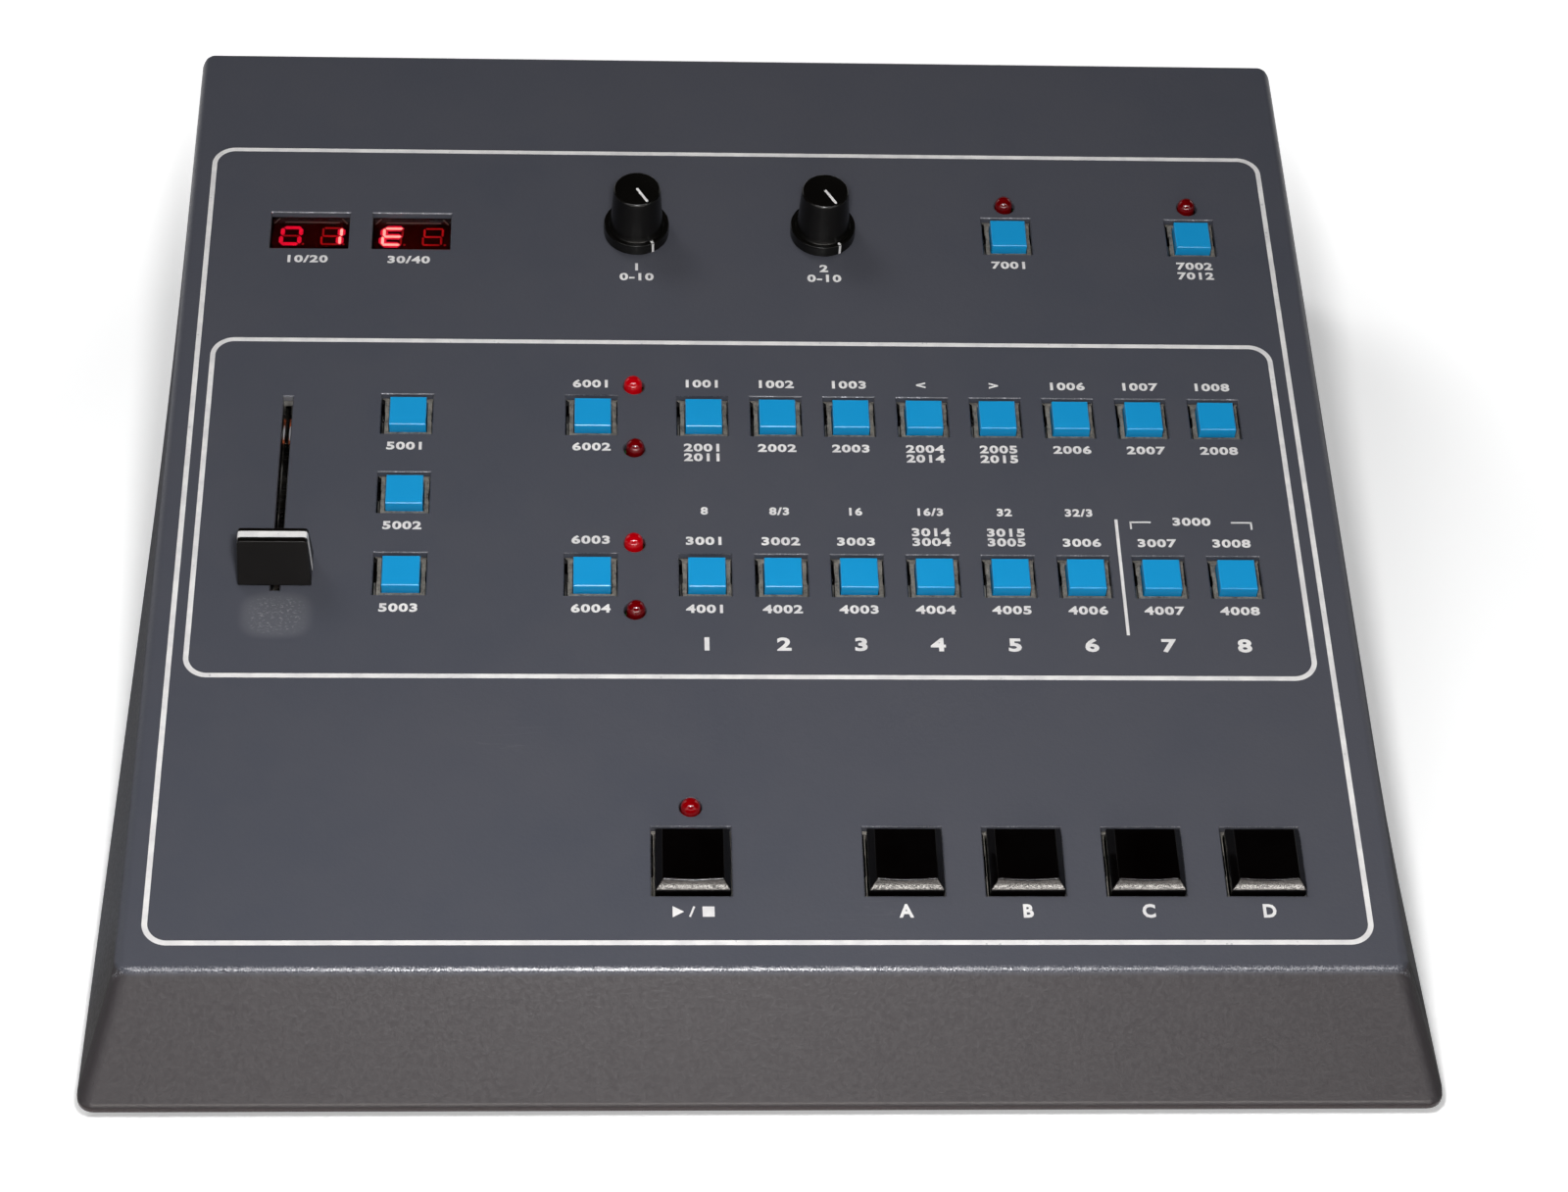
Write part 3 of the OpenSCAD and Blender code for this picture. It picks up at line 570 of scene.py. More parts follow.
def lens(name, dark, light, glow, glow_colour):
    """A tinted lamp lens: darker and brighter tints in a soft mottle, with a hard clear skin."""
    finish = Finish(name, 700.0, 220.0, Specular_IOR_Level=0.5, Emission_Strength=glow)
    finish.colour(finish.tone, dark, light)
    brighter = tuple(min(255, c + 6) for c in glow_colour)
    finish.feed("Emission Color", finish.mix(finish.tone, glow_colour, brighter))
    return finish.done(0.002, (0.03, 0.045))


def glowing(name, colour, glow):
    """A lit or resting display segment."""
    finish = Finish(
        name, 1200.0, 400.0, Roughness=0.4, Specular_IOR_Level=0.1, Emission_Strength=glow
    )
    tone = finish.mix(finish.tone, colour, tuple(min(255, c + 18) for c in colour))
    finish.feed("Base Color", tone)
    finish.feed("Emission Color", tone)
    return finish.material


def filter_glass():
    """Thin red acrylic, faintly hazed."""
    finish = Finish("red acrylic", 300.0, 90.0, IOR=1.3, Transmission_Weight=1.0)
    finish.colour(finish.tone, (236, 184, 180), (242, 192, 188))
    return finish.done(0.002, (0.0, 0.012))


def pad_edge():
    """The pads' front slope: black and grainy, polished by fingers in a band below its top."""
    finish = Finish(
        "worn pad edge", 3600.0, 3400.0, Specular_IOR_Level=0.2, Coat_IOR=1.8, Coat_Roughness=0.2
    )
    finish.colour(finish.tone, (3, 2, 2), (20, 15, 13))
    up = ON_PANEL.to_3x3() @ Vector((0, 0, 1))
    level = up @ ON_PANEL.translation / 1000
    height = finish.math("DOT_PRODUCT", finish.place, up, kind="VectorMath")
    rough, rising, falling = [
        finish.ramp(height, level + low, level + high, *ends) for low, high, ends in (
            (0.0016, 0.0034, (0.38, 0.15)), (0.0013, 0.0023, (0.1, 1.0)),
            (0.0024, 0.0032, (1.0, 0.15)),
        )
    ]
    finish.feed("Roughness", rough)
    flecks = finish.ramp(finish.tone, 0.38, 0.62, 0.1, 1.0)
    finish.feed("Coat Weight", finish.times(finish.times(rising, falling), flecks))
    return finish.done(0.08)


def frame_plastic():
    """Grey-beige switch plastic, scuffed and unevenly dusty."""
    finish = Finish("switch frame plastic", 1500.0, 480.0, IOR=1.5, Specular_IOR_Level=0.4)
    fine = finish.effect(GRAIN, Size=2600.0, Mottle=1500.0)["Tone"]
    tone = finish.mix(finish.tone, (64, 62, 60), (124, 120, 113))
    finish.colour(finish.times(fine, 0.45), tone, (150, 146, 138))
    finish.rough(fine, 0.6, 0.35)
    return finish.done(0.09)


def board_green():
    """Green solder mask over a faint pattern of tracks."""
    finish = Finish("solder mask", 900.0, 60.0, Roughness=0.35)
    brick = finish.node("TexBrick", Vector=finish.place, Scale=160.0, Mortar_Size=0.03)
    tracks = brick.outputs["Fac"]
    finish.colour(tracks, finish.mix(finish.tone, (28, 84, 46), (38, 98, 54)), (64, 128, 74))
    finish.bumps(tracks, 0.03)
    return finish.material


FINISHES = {
    "case": case_paint(),
    "rims": worn_edge(),
    "ink": ink(),
    "pad_edge": pad_edge(),
    "frame": frame_plastic(),
    "board": board_green(),
    "acrylic": filter_glass(),
    "lamps_lit": lens("red lens lit", (134, 0, 6), (150, 0, 10), 0.15, (255, 0, 20)),
    "lamp_start": lens("red lens glowing faintly", (112, 0, 3), (128, 0, 6), 0.04, (255, 0, 14)),
    "lamps_dark": lens("red lens", (88, 0, 2), (104, 0, 4), 0.01, (255, 4, 8)),
    "hot": glowing("brightly lit segment", (252, 206, 198), 1.15),
    "lit": glowing("lit segment", (196, 10, 56), 0.7),
    "dim": glowing("resting segment", (150, 10, 18), 0.24),
    "clip": metal("tinned clips", (150, 146, 138), (205, 202, 196), (0.3, 0.5)),
    # steel made dark, which paints the shade inside the fader's slot
    "slot_shade_steel": metal("dark steel", (52, 50, 48), (84, 80, 76), (0.34, 0.5), 1500.0, 0.02),
    "steel": metal("zinc-plated steel", (130, 130, 134), (168, 168, 170), (0.28, 0.42)),
    "nickel": metal("nickel plate", (176, 174, 168), (204, 202, 196), (0.16, 0.28)),
    "brass": metal("spacer brass", (170, 140, 70), (196, 166, 92), (0.3, 0.42)),
    "iron": metal("core laminations", (88, 88, 92), (116, 116, 120), (0.42, 0.6)),
    "key": moulded(
        "blue key plastic", (20, 148, 207), (23, 150, 209), (0.29, 0.31), 2600.0, 0.002, 0.0,
        Specular_IOR_Level=0.31,
    ),
    "pad": moulded(
        "black pad plastic", (2, 1, 1), (4, 3, 3), (0.13, 0.15), 1500.0, 0.004, 0.0,
        Specular_IOR_Level=0.2,
    ),
    "knob": moulded(
        "black knob plastic", (9, 8, 7), (13, 12, 10), (0.24, 0.3), 2200.0, 0.006, 0.004,
        Specular_IOR_Level=0.22,
    ),
    "fader": moulded(
        "black fader plastic", (9, 7, 6), (13, 11, 10), (0.3, 0.36), 2200.0, 0.006, 0.004,
        Specular_IOR_Level=0.22,
    ),
    "face": moulded(
        "display face", (34, 3, 4), (42, 4, 5), (0.7, 0.8), share=0.0, Specular_IOR_Level=0.02
    ),
    "track": moulded(
        "phenolic track", (34, 18, 10), (150, 68, 30), (0.4, 0.55), 1400.0, 0.03, mottle=620.0
    ),
    "pan": moulded("pan paint", (46, 47, 52), (54, 55, 60), (0.42, 0.52), 1400.0, 0.02),
    "rim": moulded("display rim", (62, 36, 31), (84, 50, 42), (0.5, 0.6), depth=0.03),
    "rubber": moulded("foot rubber", (20, 20, 21), (30, 30, 31), (0.75, 0.9), 1600.0, 0.04, 0.12),
    "socket": moulded("socket plastic", (18, 18, 19), (27, 27, 29), (0.36, 0.46), 1600.0),
    "chip": moulded("chip resin", (26, 26, 27), (36, 36, 38), (0.55, 0.7), 1500.0, 0.02),
    "sleeve": moulded("capacitor sleeve", (26, 32, 74), (34, 42, 88), (0.3, 0.4)),
    "ribbon": moulded("ribbon vinyl", (140, 140, 144), (160, 160, 164), (0.5, 0.6), depth=0.03),
}


# ---------------------------------------------------------------- the case

def case_form():
    """The outer form of the cover, open below: four slanting sides under the sloping panel. The
    side walls are twisted, so they are ruled by many upright slices."""
    bm = bmesh.new()
    floor_z = BASE_Z + LIP_H
    for v in bmesh.ops.create_cube(bm, size=2)["verts"]:
        side, rear, top = v.co
        if top < 0:
            v.co = (side * CASE_W / 2, rear * CASE_D / 2, floor_z)
        else:
            v.co = (side * PANEL_W / 2, *((BACK_Y, BACK_Z) if rear > 0 else (FOLD_Y, FOLD_Z)))
    slices = 32
    for i in range(1, slices):
        sliced(bm, (0, -CASE_D / 2 + i * CASE_D / slices, 0), (0, 1, 0))
    under = [f for f in bm.faces if all(abs(v.co.z - floor_z) < 1e-3 for v in f.verts)]
    bmesh.ops.delete(bm, geom=under, context="FACES")
    rim = [e for e in bm.edges if e.is_boundary]
    raised(bm, bmesh.ops.extrude_edge_only(bm, edges=rim)["geom"], -LIP_H)
    bmesh.ops.recalc_face_normals(bm, faces=bm.faces)
    flattened(bm, 0.05)
    return bm


def bend_width(edge):
    """How wide the bend along an edge of the case's form is, on each face beside it."""
    near = 0.01
    ends = [v.co for v in edge.verts]
    at_side = all(abs(p.x) > PANEL_W / 2 - near for p in ends)
    at_back = all(abs(p.y - BACK_Y) < near for p in ends)
    if all(abs((TO_PANEL @ p).z) < near for p in ends):
        if all(abs(p.y - FOLD_Y) < near for p in ends):
            return 1.0
        if at_side or at_back:
            return 2.4
    if all(p.z < BASE_Z + LIP_H + near for p in ends):
        if abs(ends[0].z - ends[1].z) > 1:
            return WIDEST_BEND
        return 0.9 if ends[0].z > BASE_Z + 1 else 0
    if at_side and (at_back or all(p.y < FOLD_Y + near for p in ends)):
        return 4.0
    return 0


def panel_cuts():
    """Every hole in the panel, and the opening in the back, as solids through the sheet."""
    bm = bmesh.new()
    deep, low = 4.0, -3.0
    for x, y in KEY_PLACES.values():
        block(bm, (KEY_HOLE, KEY_HOLE, deep), (x, y, low))
    for x, y in PAD_PLACES.values():
        block(bm, (PAD_HOLE, PAD_HOLE_L, deep), (x, y - (PAD_HOLE_L - PAD_HOLE) / 2, low))
    for x in DISPLAY_XS:
        block(bm, (*WINDOW, deep), (x, TOP_Y, low))
    block(bm, (*SLOT, deep), (FADER_X, FADER_Y, low))
    for places in LAMP_PLACES.values():
        for place in places:
            rod(bm, LAMP_HOLE_R, low, low + deep, place)
    for x in KNOB_XS:
        rod(bm, BUSH_HOLE_R, low, low + deep, (x, TOP_Y))
    bm.transform(ON_PANEL)
    block(bm, BACK_OPENING, (0, CASE_D / 2, BASE_Z + 8))
    return bm


def mark_rims(bm):
    """Marks the upper edges of the panel's holes, which the last bevel wears down."""
    weights = bm.edges.layers.float["bevel_weight_edge"]
    margin = 4
    bm.normal_update()
    for edge in bm.edges:
        ends = [TO_PANEL @ v.co for v in edge.verts]
        on_top = all(
            abs(p.z) < 0.02 and abs(p.x) < PANEL_W / 2 - margin and margin < p.y < PANEL_L - margin
            for p in ends
        )
        edge[weights] = 1.0 if on_top and edge.calc_face_angle(0) > 1 else 0.0


def cover():
    """The cover: a bent sheet with its openings cut, worn bright at the rims of the holes."""
    form = case_form()
    weights = form.edges.layers.float.new("bevel_weight_edge")
    for edge in form.edges:
        edge[weights] = bend_width(edge) / WIDEST_BEND
    by_weight = {"limit_method": "WEIGHT", "use_clamp_overlap": False}
    shell = settle(
        mesh_of(form),
        BEVEL={"width": WIDEST_BEND, "segments": 6, "profile": 0.5, **by_weight},
        SOLIDIFY={
            "thickness": WALL, "offset": -1, "use_even_offset": True, "use_quality_normals": True,
        },
    )
    bm = cut(opened(shell), panel_cuts())
    flattened(bm, 0.05)
    mark_rims(bm)
    sheet, uses = mesh_of(bm), ["case", "rims"]
    for use in uses:
        sheet.materials.append(FINISHES[use])
    sheet = settle(sheet, BEVEL={"width": 0.25, "segments": 1, "material": 1, **by_weight})
    piece(opened(sheet), "case_cover", uses, "top_cover", UPRIGHT, crease=40)


# ---------------------------------------------------------------- printing on the panel

def thicken(bm, faces):
    """Raises flat printing to its small thickness."""
    raised(bm, bmesh.ops.extrude_face_region(bm, geom=faces)["geom"], INK_HIGH - INK_LOW)


def rounded_frame(bm, left, right, low, high):
    """A printed line round a rectangle with round corners; the sides are its outer edges."""
    radius, width, sides = 6.6, 1.4, 48
    loops = []
    for inset in (0, width):
        verts = bmesh.ops.create_circle(bm, segments=sides, radius=radius - inset)["verts"]
        moved(bm, verts, turn(math.pi / sides))
        for v in verts:
            v.co.x += math.copysign((right - left) / 2 - radius, v.co.x) + (left + right) / 2
            v.co.y += math.copysign((high - low) / 2 - radius, v.co.y) + (low + high) / 2
            v.co.z = INK_LOW
        loops += edges_of(verts)
    thicken(bm, bmesh.ops.bridge_loops(bm, edges=loops)["faces"])


def bar(bm, left, right, low, high):
    size = (right - left, high - low, INK_HIGH - INK_LOW)
    block(bm, size, ((left + right) / 2, (low + high) / 2, INK_LOW))


def lettering(bm, text, x, y, tall=2.55, wide=1.32):
    """Bold extended figures, centred on x, y, whose capitals are that tall."""
    thick, capital = 0.01, 0.7
    curve = bpy.data.curves.new("figures", "FONT")
    adjust(
        curve, body=text, align_x="CENTER", align_y="CENTER", size=1, offset=0.036,
        space_character=1.12, resolution_u=3, extrude=thick / 2,
    )
    mesh = as_shown(in_scene("figures", curve))
    bpy.data.curves.remove(curve)
    size = tall / capital
    mesh.transform(
        shift(x, y, (INK_LOW + INK_HIGH) / 2)
        @ Matrix.Diagonal((size * wide, size, (INK_HIGH - INK_LOW) / thick, 1))
    )
    bm.from_mesh(mesh)
    bpy.data.meshes.remove(mesh)


def transport_marks(bm, x, y):
    """A solid triangle, a slanting stroke and a solid square: start and stop."""
    start = bmesh.ops.create_circle(bm, cap_ends=True, segments=3, radius=1.9)["verts"]
    moved(bm, start, shift(x - 3.9, y, INK_LOW) @ turn(-math.pi / 2))
    thicken(bm, list({f for v in start for f in v.link_faces}))
    stroke = block(bm, (0.5, 3.2, INK_HIGH - INK_LOW))
    moved(bm, stroke, shift(x, y, INK_LOW) @ turn(-0.35))
    bar(bm, x + 2.6, x + 5.6, y - 1.5, y + 1.5)


def panel_lines():
    """The line round the whole panel, and the lines round and between the keys."""
    bm = bmesh.new()
    rounded_frame(bm, -153.8, 152.0, 6.6, 279.85)
    piece(bm, "outer_line", "ink")
    bm = bmesh.new()
    rounded_frame(bm, -149.5, 147.45, 88.3, 206.1)
    bar(bm, 97.75, 98.6, 103.1, 142.5)
    for left, right, post in ((101.8, 107.6, 101.8), (129.5, 135.2, 134.7)):
        bar(bm, left, right, 141.35, 141.85)
        bar(bm, post, post + 0.5, 139.2, 141.85)
    piece(bm, "inner_lines", "ink")


def key_figures():
    """Plain figures and signs above and below the two rows of keys."""
    above, below, second = 12.95, -10.2, -13.65
    bm = bmesh.new()
    signs = ["1001", "1002", "1003", "<", ">", "1006", "1007", "1008"]
    for i, x in enumerate(KEY_XS):
        lettering(bm, signs[i], x, PRINT_UPPER_Y + above)
        lettering(bm, str(2001 + i), x, PRINT_UPPER_Y + below)
        if i in (0, 3, 4):
            lettering(bm, str(2011 + i), x, PRINT_UPPER_Y + second)
        lettering(bm, str(3001 + i), x, PRINT_LOWER_Y + above - 0.15)
        if i in (3, 4):
            lettering(bm, str(3011 + i), x, PRINT_LOWER_Y + above + 3.2)
        lettering(bm, str(4001 + i), x, PRINT_LOWER_Y + below)
        lettering(bm, str(i + 1), x, PRINT_LOWER_Y - 21.9, 4.0)
    for x, share in zip(KEY_XS, ("8", "8/3", "16", "16/3", "32", "32/3")):
        lettering(bm, share, x, PRINT_LOWER_Y + 23.2, 2.4, 1.15)
    lettering(bm, "3000", (KEY_XS[6] + KEY_XS[7]) / 2, PRINT_LOWER_Y + 20.3)
    piece(bm, "key_figures", "ink")


def panel_figures():
    """Plain figures and signs beside the other keys, the knobs, displays and pads."""
    bm = bmesh.new()
    page_ys = (
        PRINT_UPPER_Y + 12.7, PRINT_UPPER_Y - 10.1, PRINT_LOWER_Y + 13, PRINT_LOWER_Y - 10.2
    )
    for text, x, y in (
        *[(str(5001 + i), LEFT_X, y - 10.2) for i, y in enumerate(PRINT_COLUMN_YS)],
        *[(str(6001 + i), PAGE_X, y) for i, y in enumerate(page_ys)],
        *[(text, x - 0.5, TOP_Y - 11.3) for text, x in zip(("10/20", "30/40"), DISPLAY_XS)],
        ("1", KNOB_XS[0], TOP_Y - 13.3),
        ("0-10", KNOB_XS[0], TOP_Y - 17.1),
        ("2", KNOB_XS[1], TOP_Y - 13.3),
        ("0-10", KNOB_XS[1], TOP_Y - 17.1),
        ("7001", TOP_KEY_XS[0], TOP_Y - 11.35),
        ("7002", TOP_KEY_XS[1], TOP_Y - 11.1),
        ("7012", TOP_KEY_XS[1], TOP_Y - 14.9),
    ):
        lettering(bm, text, x, y)
    sign_y = PRINT_PAD_Y - 15.1
    transport_marks(bm, START_X, sign_y)
    for x, mark in zip(BANK_XS, "ABCD"):
        lettering(bm, mark, x, sign_y, 3.7, 0.9)
    piece(bm, "panel_figures", "ink")


# ---------------------------------------------------------------- keys, pads and their switches

def bevelled_cap(size, foot, top, bevel, shoulder, arris):
    """An upright cap whose top edges slope: the crown rounds into the slopes by the shoulder's
    width, and the other edges are lightly rounded."""
    bm = bmesh.new()
    run, drop = bevel
    block(bm, (*size, top - drop - foot), (0, 0, foot))
    crown = max(bm.faces, key=lambda f: f.calc_center_median().z)
    bmesh.ops.inset_region(bm, faces=[crown], thickness=run, depth=0, use_even_offset=True)
    for v in crown.verts:
        v.co.z = top
    bm.normal_update()
    round_edges(bm, list(crown.edges), shoulder, 5)
    bm.normal_update()
    sharp = [
        e for e in bm.edges
        if e.calc_face_angle(0) > 0.3 and max(v.co.z for v in e.verts) > foot + 1e-3
    ]
    round_edges(bm, sharp, arris)
    return bm


def key_caps():
    for name, (x, y) in KEY_PLACES.items():
        bm = bevelled_cap((KEY_CAP, KEY_CAP), KEY_FOOT, KEY_TOP, KEY_BEVEL, 0.05, 0.08)
        moved(bm, bm.verts, shift(x + CAP_SHIFT, y))
        piece(bm, name + "_cap", "key", name, body=name, crease=20)


def pad_caps():
    """Pads with wide sloping edges and a crown that dips a little across its middle. The dip
    follows the front and rear slopes, which stay flat."""
    run, drop = PAD_BEVEL
    flat, dip_depth, half_steps = PAD_CAP / 2 - run, 0.34, 6
    for name, (x, y) in PAD_PLACES.items():
        bm = bevelled_cap((PAD_CAP, PAD_CAP_L), PAD_FOOT, PAD_TOP, PAD_BEVEL, 0.4, 0.2)
        for i in range(1, 2 * half_steps):
            sliced(bm, (-flat + i * flat / half_steps, 0, 0), (1, 0, 0))
        for v in bm.verts:
            if v.co.z > PAD_TOP - 1.3 and abs(v.co.x) < flat:
                dip = dip_depth * (1 - (v.co.x / flat) ** 2)
                v.co.z -= dip
                if abs(v.co.y) > PAD_CAP_L / 2 - run - 1.5:
                    v.co.y += math.copysign(dip * run / drop, v.co.y)
        bm.normal_update()
        for face in bm.faces:
            face.material_index = int(face.normal.y < -0.3 and face.normal.z > 0.2)
        moved(bm, bm.verts, shift(x + CAP_SHIFT, y - PAD_DROP))
        piece(bm, name + "_cap", ["pad", "pad_edge"], name, body=name)


def switch_frames():
    """Moulded frames under the keys and pads, each with a raised collar round its well, a notch
    at either side and tinned clips beside the cap. The notches' walls are painted black as shade."""
    deck, crown, notch_off = -2.35, -1.6, 0.3
    for node, places, side, cap, collar, drop in (
        ("key_switches", KEY_PLACES, 16, (KEY_CAP, KEY_CAP), 6.5, 0),
        ("pad_switches", PAD_PLACES, 22.4, (PAD_CAP, PAD_CAP_L), 9.95, PAD_DROP),
    ):
        well, reach = cap[0] / 2 + 0.27, cap[1] * 0.34
        frames = squared([
            (0, BOARD_Z), (side / 2, BOARD_Z), (side / 2, deck - 0.2), (side / 2 - 0.2, deck),
            (collar, deck), (collar, crown - 0.2), (collar - 0.06, crown - 0.06),
            (collar - 0.16, crown), (well + 0.12, crown), (well + 0.03, crown - 0.05),
            (well, crown - 0.14), (well, BOARD_Z + 1), (0, BOARD_Z + 1),
        ])
        notches, clips = bmesh.new(), bmesh.new()
        for s in (-1, 1):
            block(notches, (0.9, reach, 4), (s * (collar + notch_off), 0.2, deck - 2.5))
            spot = (s * (collar + 0.25) - 0.2, 0.1 - reach * 1.25, deck - 2.72)
            soft_block(clips, (0.45, reach * 1.5, 3), spot, 0.1)
        frames = cut(frames, notches)
        for face in frames.faces:
            at = face.calc_center_median()
            beside = abs(abs(at.x) - collar - notch_off) < 0.46
            hollow = beside and abs(at.y - 0.2) < reach / 2 + 0.01
            # The notch walls low down take the black pad finish: painted shade in the notches.
            face.material_index = int(hollow and at.z < crown - 0.3)
        spots = [shift(x + CAP_SHIFT, y - drop) for x, y in places.values()]
        for one, label, finish in (
            # the second finish paints the shade in the notches black
            (frames, "_frames", ["frame", "pad"]), (clips, "_clips", "clip")
        ):
            bm = bmesh.new()
            add(bm, one, *spots)
            piece(bm, node + label, finish, node)


# ---------------------------------------------------------------- lamps and displays

def lamps():
    """Domed lamps on wire legs, each a little off the middle of its hole."""
    dome = [
        (LAMP_R * math.cos(a), 0.2 + LAMP_R * 1.06 * math.sin(a))
        for a in (math.radians(90 - 6 * i) for i in range(16))
    ]
    profile = [
        (0, dome[0][1]), *dome[1:], (LAMP_R, -5.9), (LAMP_R + 0.4, -6), (LAMP_R + 0.4, -7), (0, -7)
    ]
    for name, offsets in (
        ("lamps_lit", [(-0.25, 0.28)] * 2),
        ("lamp_start", [(0.0, -0.3)]),
        ("lamps_dark", [(0.28, 0.28)] * 2 + [(-0.25, 0.3)] * 2),
    ):
        domes, legs = bmesh.new(), bmesh.new()
        for (x, y), (right, back) in zip(LAMP_PLACES[name], offsets):
            add(domes, turned(bmesh.new(), profile, 40), shift(x + right, y + back))
            for s in (-1, 1):
                rod(legs, 0.3, BOARD_Z, -6.5, (x + right + s * 1.27, y + back), 8)
        for bm, label, finish in ((domes, "", name), (legs, "_legs", "clip")):
            piece(bm, name + label, finish, "indicator_lamps")


def segment(bm, at, upright, long, thick, high=0.06):
    """One bar of a figure, with pointed ends."""
    one = bmesh.new()
    soft_block(one, (long, thick, high), (0, 0, 0), thick * 0.49, 1, upright_edge)
    add(bm, one, shift(*at) @ turn(math.pi / 2 if upright else 0))


def seven(lit, dim, x, y, pattern, halo):
    """Adds a leaning seven-bar figure at x, y: the bars in pattern are lit, and a halo's mesh
    takes a wider bar behind each of them."""
    half_w, half_h, lean = 2.6, 3.15, 0.12
    for name, (across, up) in {
        "a": (0, 2), "d": (0, -2), "g": (0, 0), "b": (1, 1), "c": (1, -1), "e": (-1, -1),
        "f": (-1, 1),
    }.items():
        on, upright = name in pattern, across != 0
        dx, dy = across * half_w, up * half_h / 2
        at = (x + dx + lean * dy, y + dy, FACE_Z)
        long = (half_h if upright else 2 * half_w) - 0.25
        if on and halo:
            segment(halo, at, upright, long + 0.9, 2.2, 0.03)
        thick = (0.8 if halo else 1.2) if on else 0.6
        segment(lit if on else dim, at, upright, long, thick)
    rod(dim, 0.35, FACE_Z, FACE_Z + 0.06, (x + half_w + 0.9, y - half_h), 12)


def displays():
    """Display modules with leaning figures behind the filter: a nought, a one and a three-bar
    figure are lit, and the last place rests."""
    bodies, rims, hot, lit, dim = (bmesh.new() for _ in range(5))
    patterns = ((("abcdef", lit), ("bc", hot)), (("adefg", hot), ("", lit)))
    for x, pair in zip(DISPLAY_XS, patterns):
        soft_block(bodies, (25, 17, FACE_Z - BOARD_Z), (x, TOP_Y, BOARD_Z), 0.15)
        soft_block(rims, (15.5, 0.3, 0.14), (x + 0.4, TOP_Y + 4.9, FILTER_TOP), 0.05)
        for s in (-1, 1):
            gusset = bmesh.new()
            soft_block(gusset, (0.3, 2.4, 0.3), (0, 0, 0), 0.08)
            corner = shift(x + s * 9.6, TOP_Y + 5.3, FILTER_TOP)
            add(rims, gusset, corner @ turn(s * math.radians(38)))
        for dx, (pattern, glow) in zip((-5.75, 5.75), pair):
            seven(glow, dim, x + dx + 0.2, TOP_Y + 0.4, pattern, lit if glow is hot else None)
    for bm, name, finish in (
        (bodies, "display_bodies", "face"), (rims, "display_rims", "rim"),
        (hot, "segments_bright", "hot"), (lit, "segments_lit", "lit"),
        (dim, "segments_resting", "dim"),
    ):
        piece(bm, name, finish, "display_modules")
    dress("acrylic", "display_filter")


# ---------------------------------------------------------------- knobs and fader

def knobs():
    """Skirted knobs with a white pointer across the top and down the skirt."""
    pointer, foot, bore_depth = turn(math.radians(-60)), 0.6, 13.9
    for node, x in zip(("knob_left", "knob_right"), KNOB_XS):
        place = shift(x, TOP_Y)
        bm = turned(bmesh.new(), [
            (3.05, foot), (9.0, foot), (9.3, 0.9), (9.3, 3.95), (9.25, 4.17), (9.12, 4.31),
            (8.9, 4.37), (8.5, 4.3), (8.2, 4.15), (7.9, 4.2), (7.62, 4.7), (7.48, 5.6), (7.36, 7.0),
            (6.7, 17.4), (6.68, 17.62), (6.62, 17.8), (6.52, 17.93), (6.4, 18.04),
            (6.3, 18.14), (6.2, 18.19), (6.05, 18.2), (4.0, 18.16), (2.0, 18.13), (0, 18.12),
        ], 72)
        mouth = [v for v in bm.verts if abs(v.co.z - foot) < 1e-3 and v.co.xy.length < 3.2]
        bore = [e for e in edges_of(mouth) if e.is_boundary]
        inner = raised(bm, bmesh.ops.extrude_edge_only(bm, edges=bore)["geom"], bore_depth)
        bmesh.ops.contextual_create(bm, geom=[e for e in edges_of(inner) if e.is_boundary])
        moved(bm, bm.verts, place)
        piece(bm, node + "_body", "knob", node, body=node, crease=30)

        bm = bmesh.new()
        for size, at, width, segments in (
            ((6.1, 0.75, 0.16), (2.8, 0, 18.08), 0.3, 2),
            ((0.2, 0.75, 3.2), (9.24, 0, 0.85), 0.05, 1),
            ((0.9, 0.75, 0.12), (8.75, 0, 4.3), 0.1, 1),
        ):
            soft_block(bm, size, at, width, segments, upright_edge)
        moved(bm, bm.verts, place @ pointer)
        piece(bm, node + "_pointer", "ink", node, body=node)


def cap_form(crown_w, foot_w, crown, foot, low, high, corner):
    """A bar whose front and back lean in to a narrow crown, with its crown's ends cut off."""
    bm = bmesh.new()
    for v in block(bm, (foot_w, foot * 2, high - low), (0, 0, low)):
        if v.co.z > (low + high) / 2:
            v.co.x = math.copysign(crown_w / 2, v.co.x)
            v.co.y = math.copysign(crown, v.co.y)
    ends = [
        e for e in bm.edges
        if all(v.co.z > high - 1e-3 for v in e.verts)
        and abs(e.verts[0].co.x - e.verts[1].co.x) < 1e-3
    ]
    round_edges(bm, ends, corner, 2)
    return bm


def fader_cap():
    """The finger cap with its white inlay; it rides on the carriage's lever."""
    low, high = 1, 15.2
    cap = cap_form(18.3, 19.3, 2.3, 5.7, low, high, 0.9)
    round_edges(cap, [e for e in cap.edges if e.calc_face_angle(0) > 0.8], 0.2)
    inlay = cap_form(18.38, 19.38, 1.0, 1.0, low + 0.3, high + 0.04, 0.94)
    for bm, label, finish, back in ((cap, "body", "fader", 0), (inlay, "line", "ink", 0.2)):
        moved(bm, bm.verts, shift(FADER_X, CARRIAGE_Y + back))
        piece(bm, "fader_cap_" + label, finish, "fader_cap", body="fader")
    # The body and carriage are steel made dark: painted shade inside the slot.
    dress("slot_shade_steel", "fader_carriage", "fader_body")


